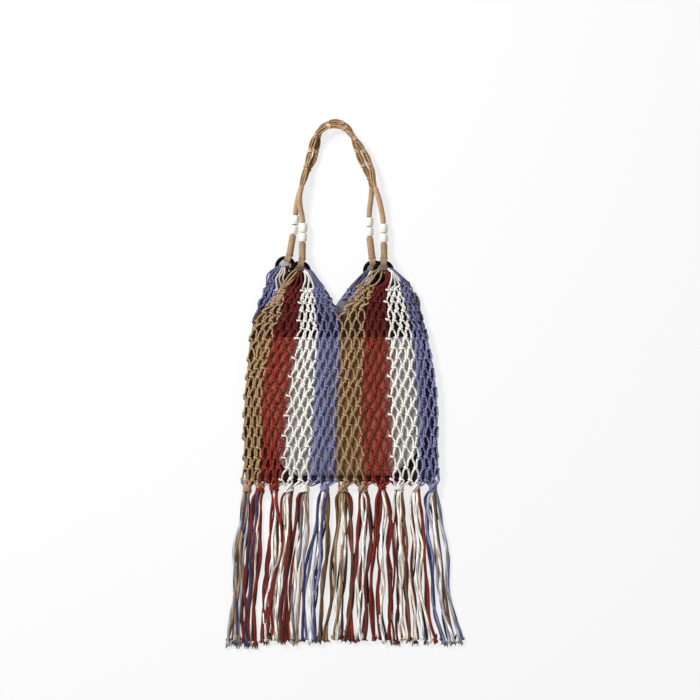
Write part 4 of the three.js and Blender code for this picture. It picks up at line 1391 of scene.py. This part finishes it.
class NETBAG_OT_beads(bpy.types.Operator):
    """Turns the eight wooden beads and threads them on the handles"""
    bl_idname = "netbag.beads"
    bl_label = "Beads"

    def execute(self, context):
        material = hard_material(
            "painted_wood", context.scene.net_bag_colours.bead, 0.34, grain=(420.0, 4.0),
            light=(0.3, 0.75, 0.9, 1.05), gloss=(0.3, 0.7, 0.28, 0.45), relief=(0.08, 0.35),
            Coat_Weight=0.25, Coat_Roughness=0.2,
        )
        for name in HANDLES:
            path, _ = handle_path(name, 1.0)
            tangents = np.gradient(path, axis=0)
            for number in range(1, 5):
                node = f"bead_{name}_{number}"
                low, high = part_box(node)
                middle = (Vector(low) + Vector(high)) / 2
                nearest = np.argmin(np.linalg.norm(path - np.array(middle) / MM, axis=1))
                turn_bead(node, middle, Vector(tangents[nearest]), material)
        return {"FINISHED"}


class NETBAG_OT_handles(bpy.types.Operator):
    """Winds the two cord handles, with whipped ends and open, tied strands above"""
    bl_idname = "netbag.handles"
    bl_label = "Handles"

    def execute(self, context):
        colour = np.array(context.scene.net_bag_colours.handle)
        for name in HANDLES:
            node = f"handle_{name}"
            handle = HandleMaker(name, colour)
            handle.cords.build(f"{node}_cords", "handle_cotton", "handle_cord", node)
            handle.whips.build(f"{node}_whipping", "whipped_cotton", "handle_cord", node)
        return {"FINISHED"}


class NETBAG_OT_fringe(bpy.types.Operator):
    """Ties the gather knots and lays out the long fringe below them"""
    bl_idname = "netbag.fringe"
    bl_label = "Fringe"

    def execute(self, context):
        dyes_and_painted_light = dye_and_painted_light_palette(context.scene.net_bag_colours)
        radius = context.scene.net_bag_sizes.fringe_cord / MM / 2
        rng = random.Random(FRINGE_SEED)
        strands = CordBuilder(7)
        knots = CordBuilder(7)
        for tassel, rise in zip(TASSELS, TIP_RISES):
            add_tassel(strands, tassel, rise, dyes_and_painted_light, radius, rng)
            add_gather_knot(knots, tassel[0], tassel[2], dyes_and_painted_light, rng)
        strands.build("fringe_strands", "loose_cotton", "net_cord", "fringe")
        knots.build("gather_knots", "twisted_cotton", "net_cord", "fringe")
        return {"FINISHED"}


class NETBAG_PT_panel(bpy.types.Panel):
    """Lists the bag's pieces and their settings"""
    bl_idname = "NETBAG_PT_panel"
    bl_label = "Net Bag"
    bl_space_type = "VIEW_3D"
    bl_region_type = "UI"
    bl_category = "Net Bag"

    def draw(self, context):
        column = self.layout.column()
        for operator in OPERATORS:
            column.operator(operator.bl_idname)
        for settings in (context.scene.net_bag_colours, context.scene.net_bag_sizes):
            for name in settings.__annotations__:
                column.prop(settings, name)


OPERATORS = (
    NETBAG_OT_stage,
    NETBAG_OT_back_net,
    NETBAG_OT_front_net,
    NETBAG_OT_linings,
    NETBAG_OT_rings,
    NETBAG_OT_beads,
    NETBAG_OT_handles,
    NETBAG_OT_fringe,
)
CLASSES = (NetBagColours, NetBagSizes, *OPERATORS, NETBAG_PT_panel)


def register():
    for cls in CLASSES:
        bpy.utils.register_class(cls)
    bpy.types.Scene.net_bag_colours = bpy.props.PointerProperty(type=NetBagColours)
    bpy.types.Scene.net_bag_sizes = bpy.props.PointerProperty(type=NetBagSizes)


def unregister():
    del bpy.types.Scene.net_bag_sizes
    del bpy.types.Scene.net_bag_colours
    for cls in reversed(CLASSES):
        bpy.utils.unregister_class(cls)


def main():
    register()
    for operator in OPERATORS:
        group, name = operator.bl_idname.split(".")
        getattr(getattr(bpy.ops, group), name)()


if __name__ == "__main__":
    main()
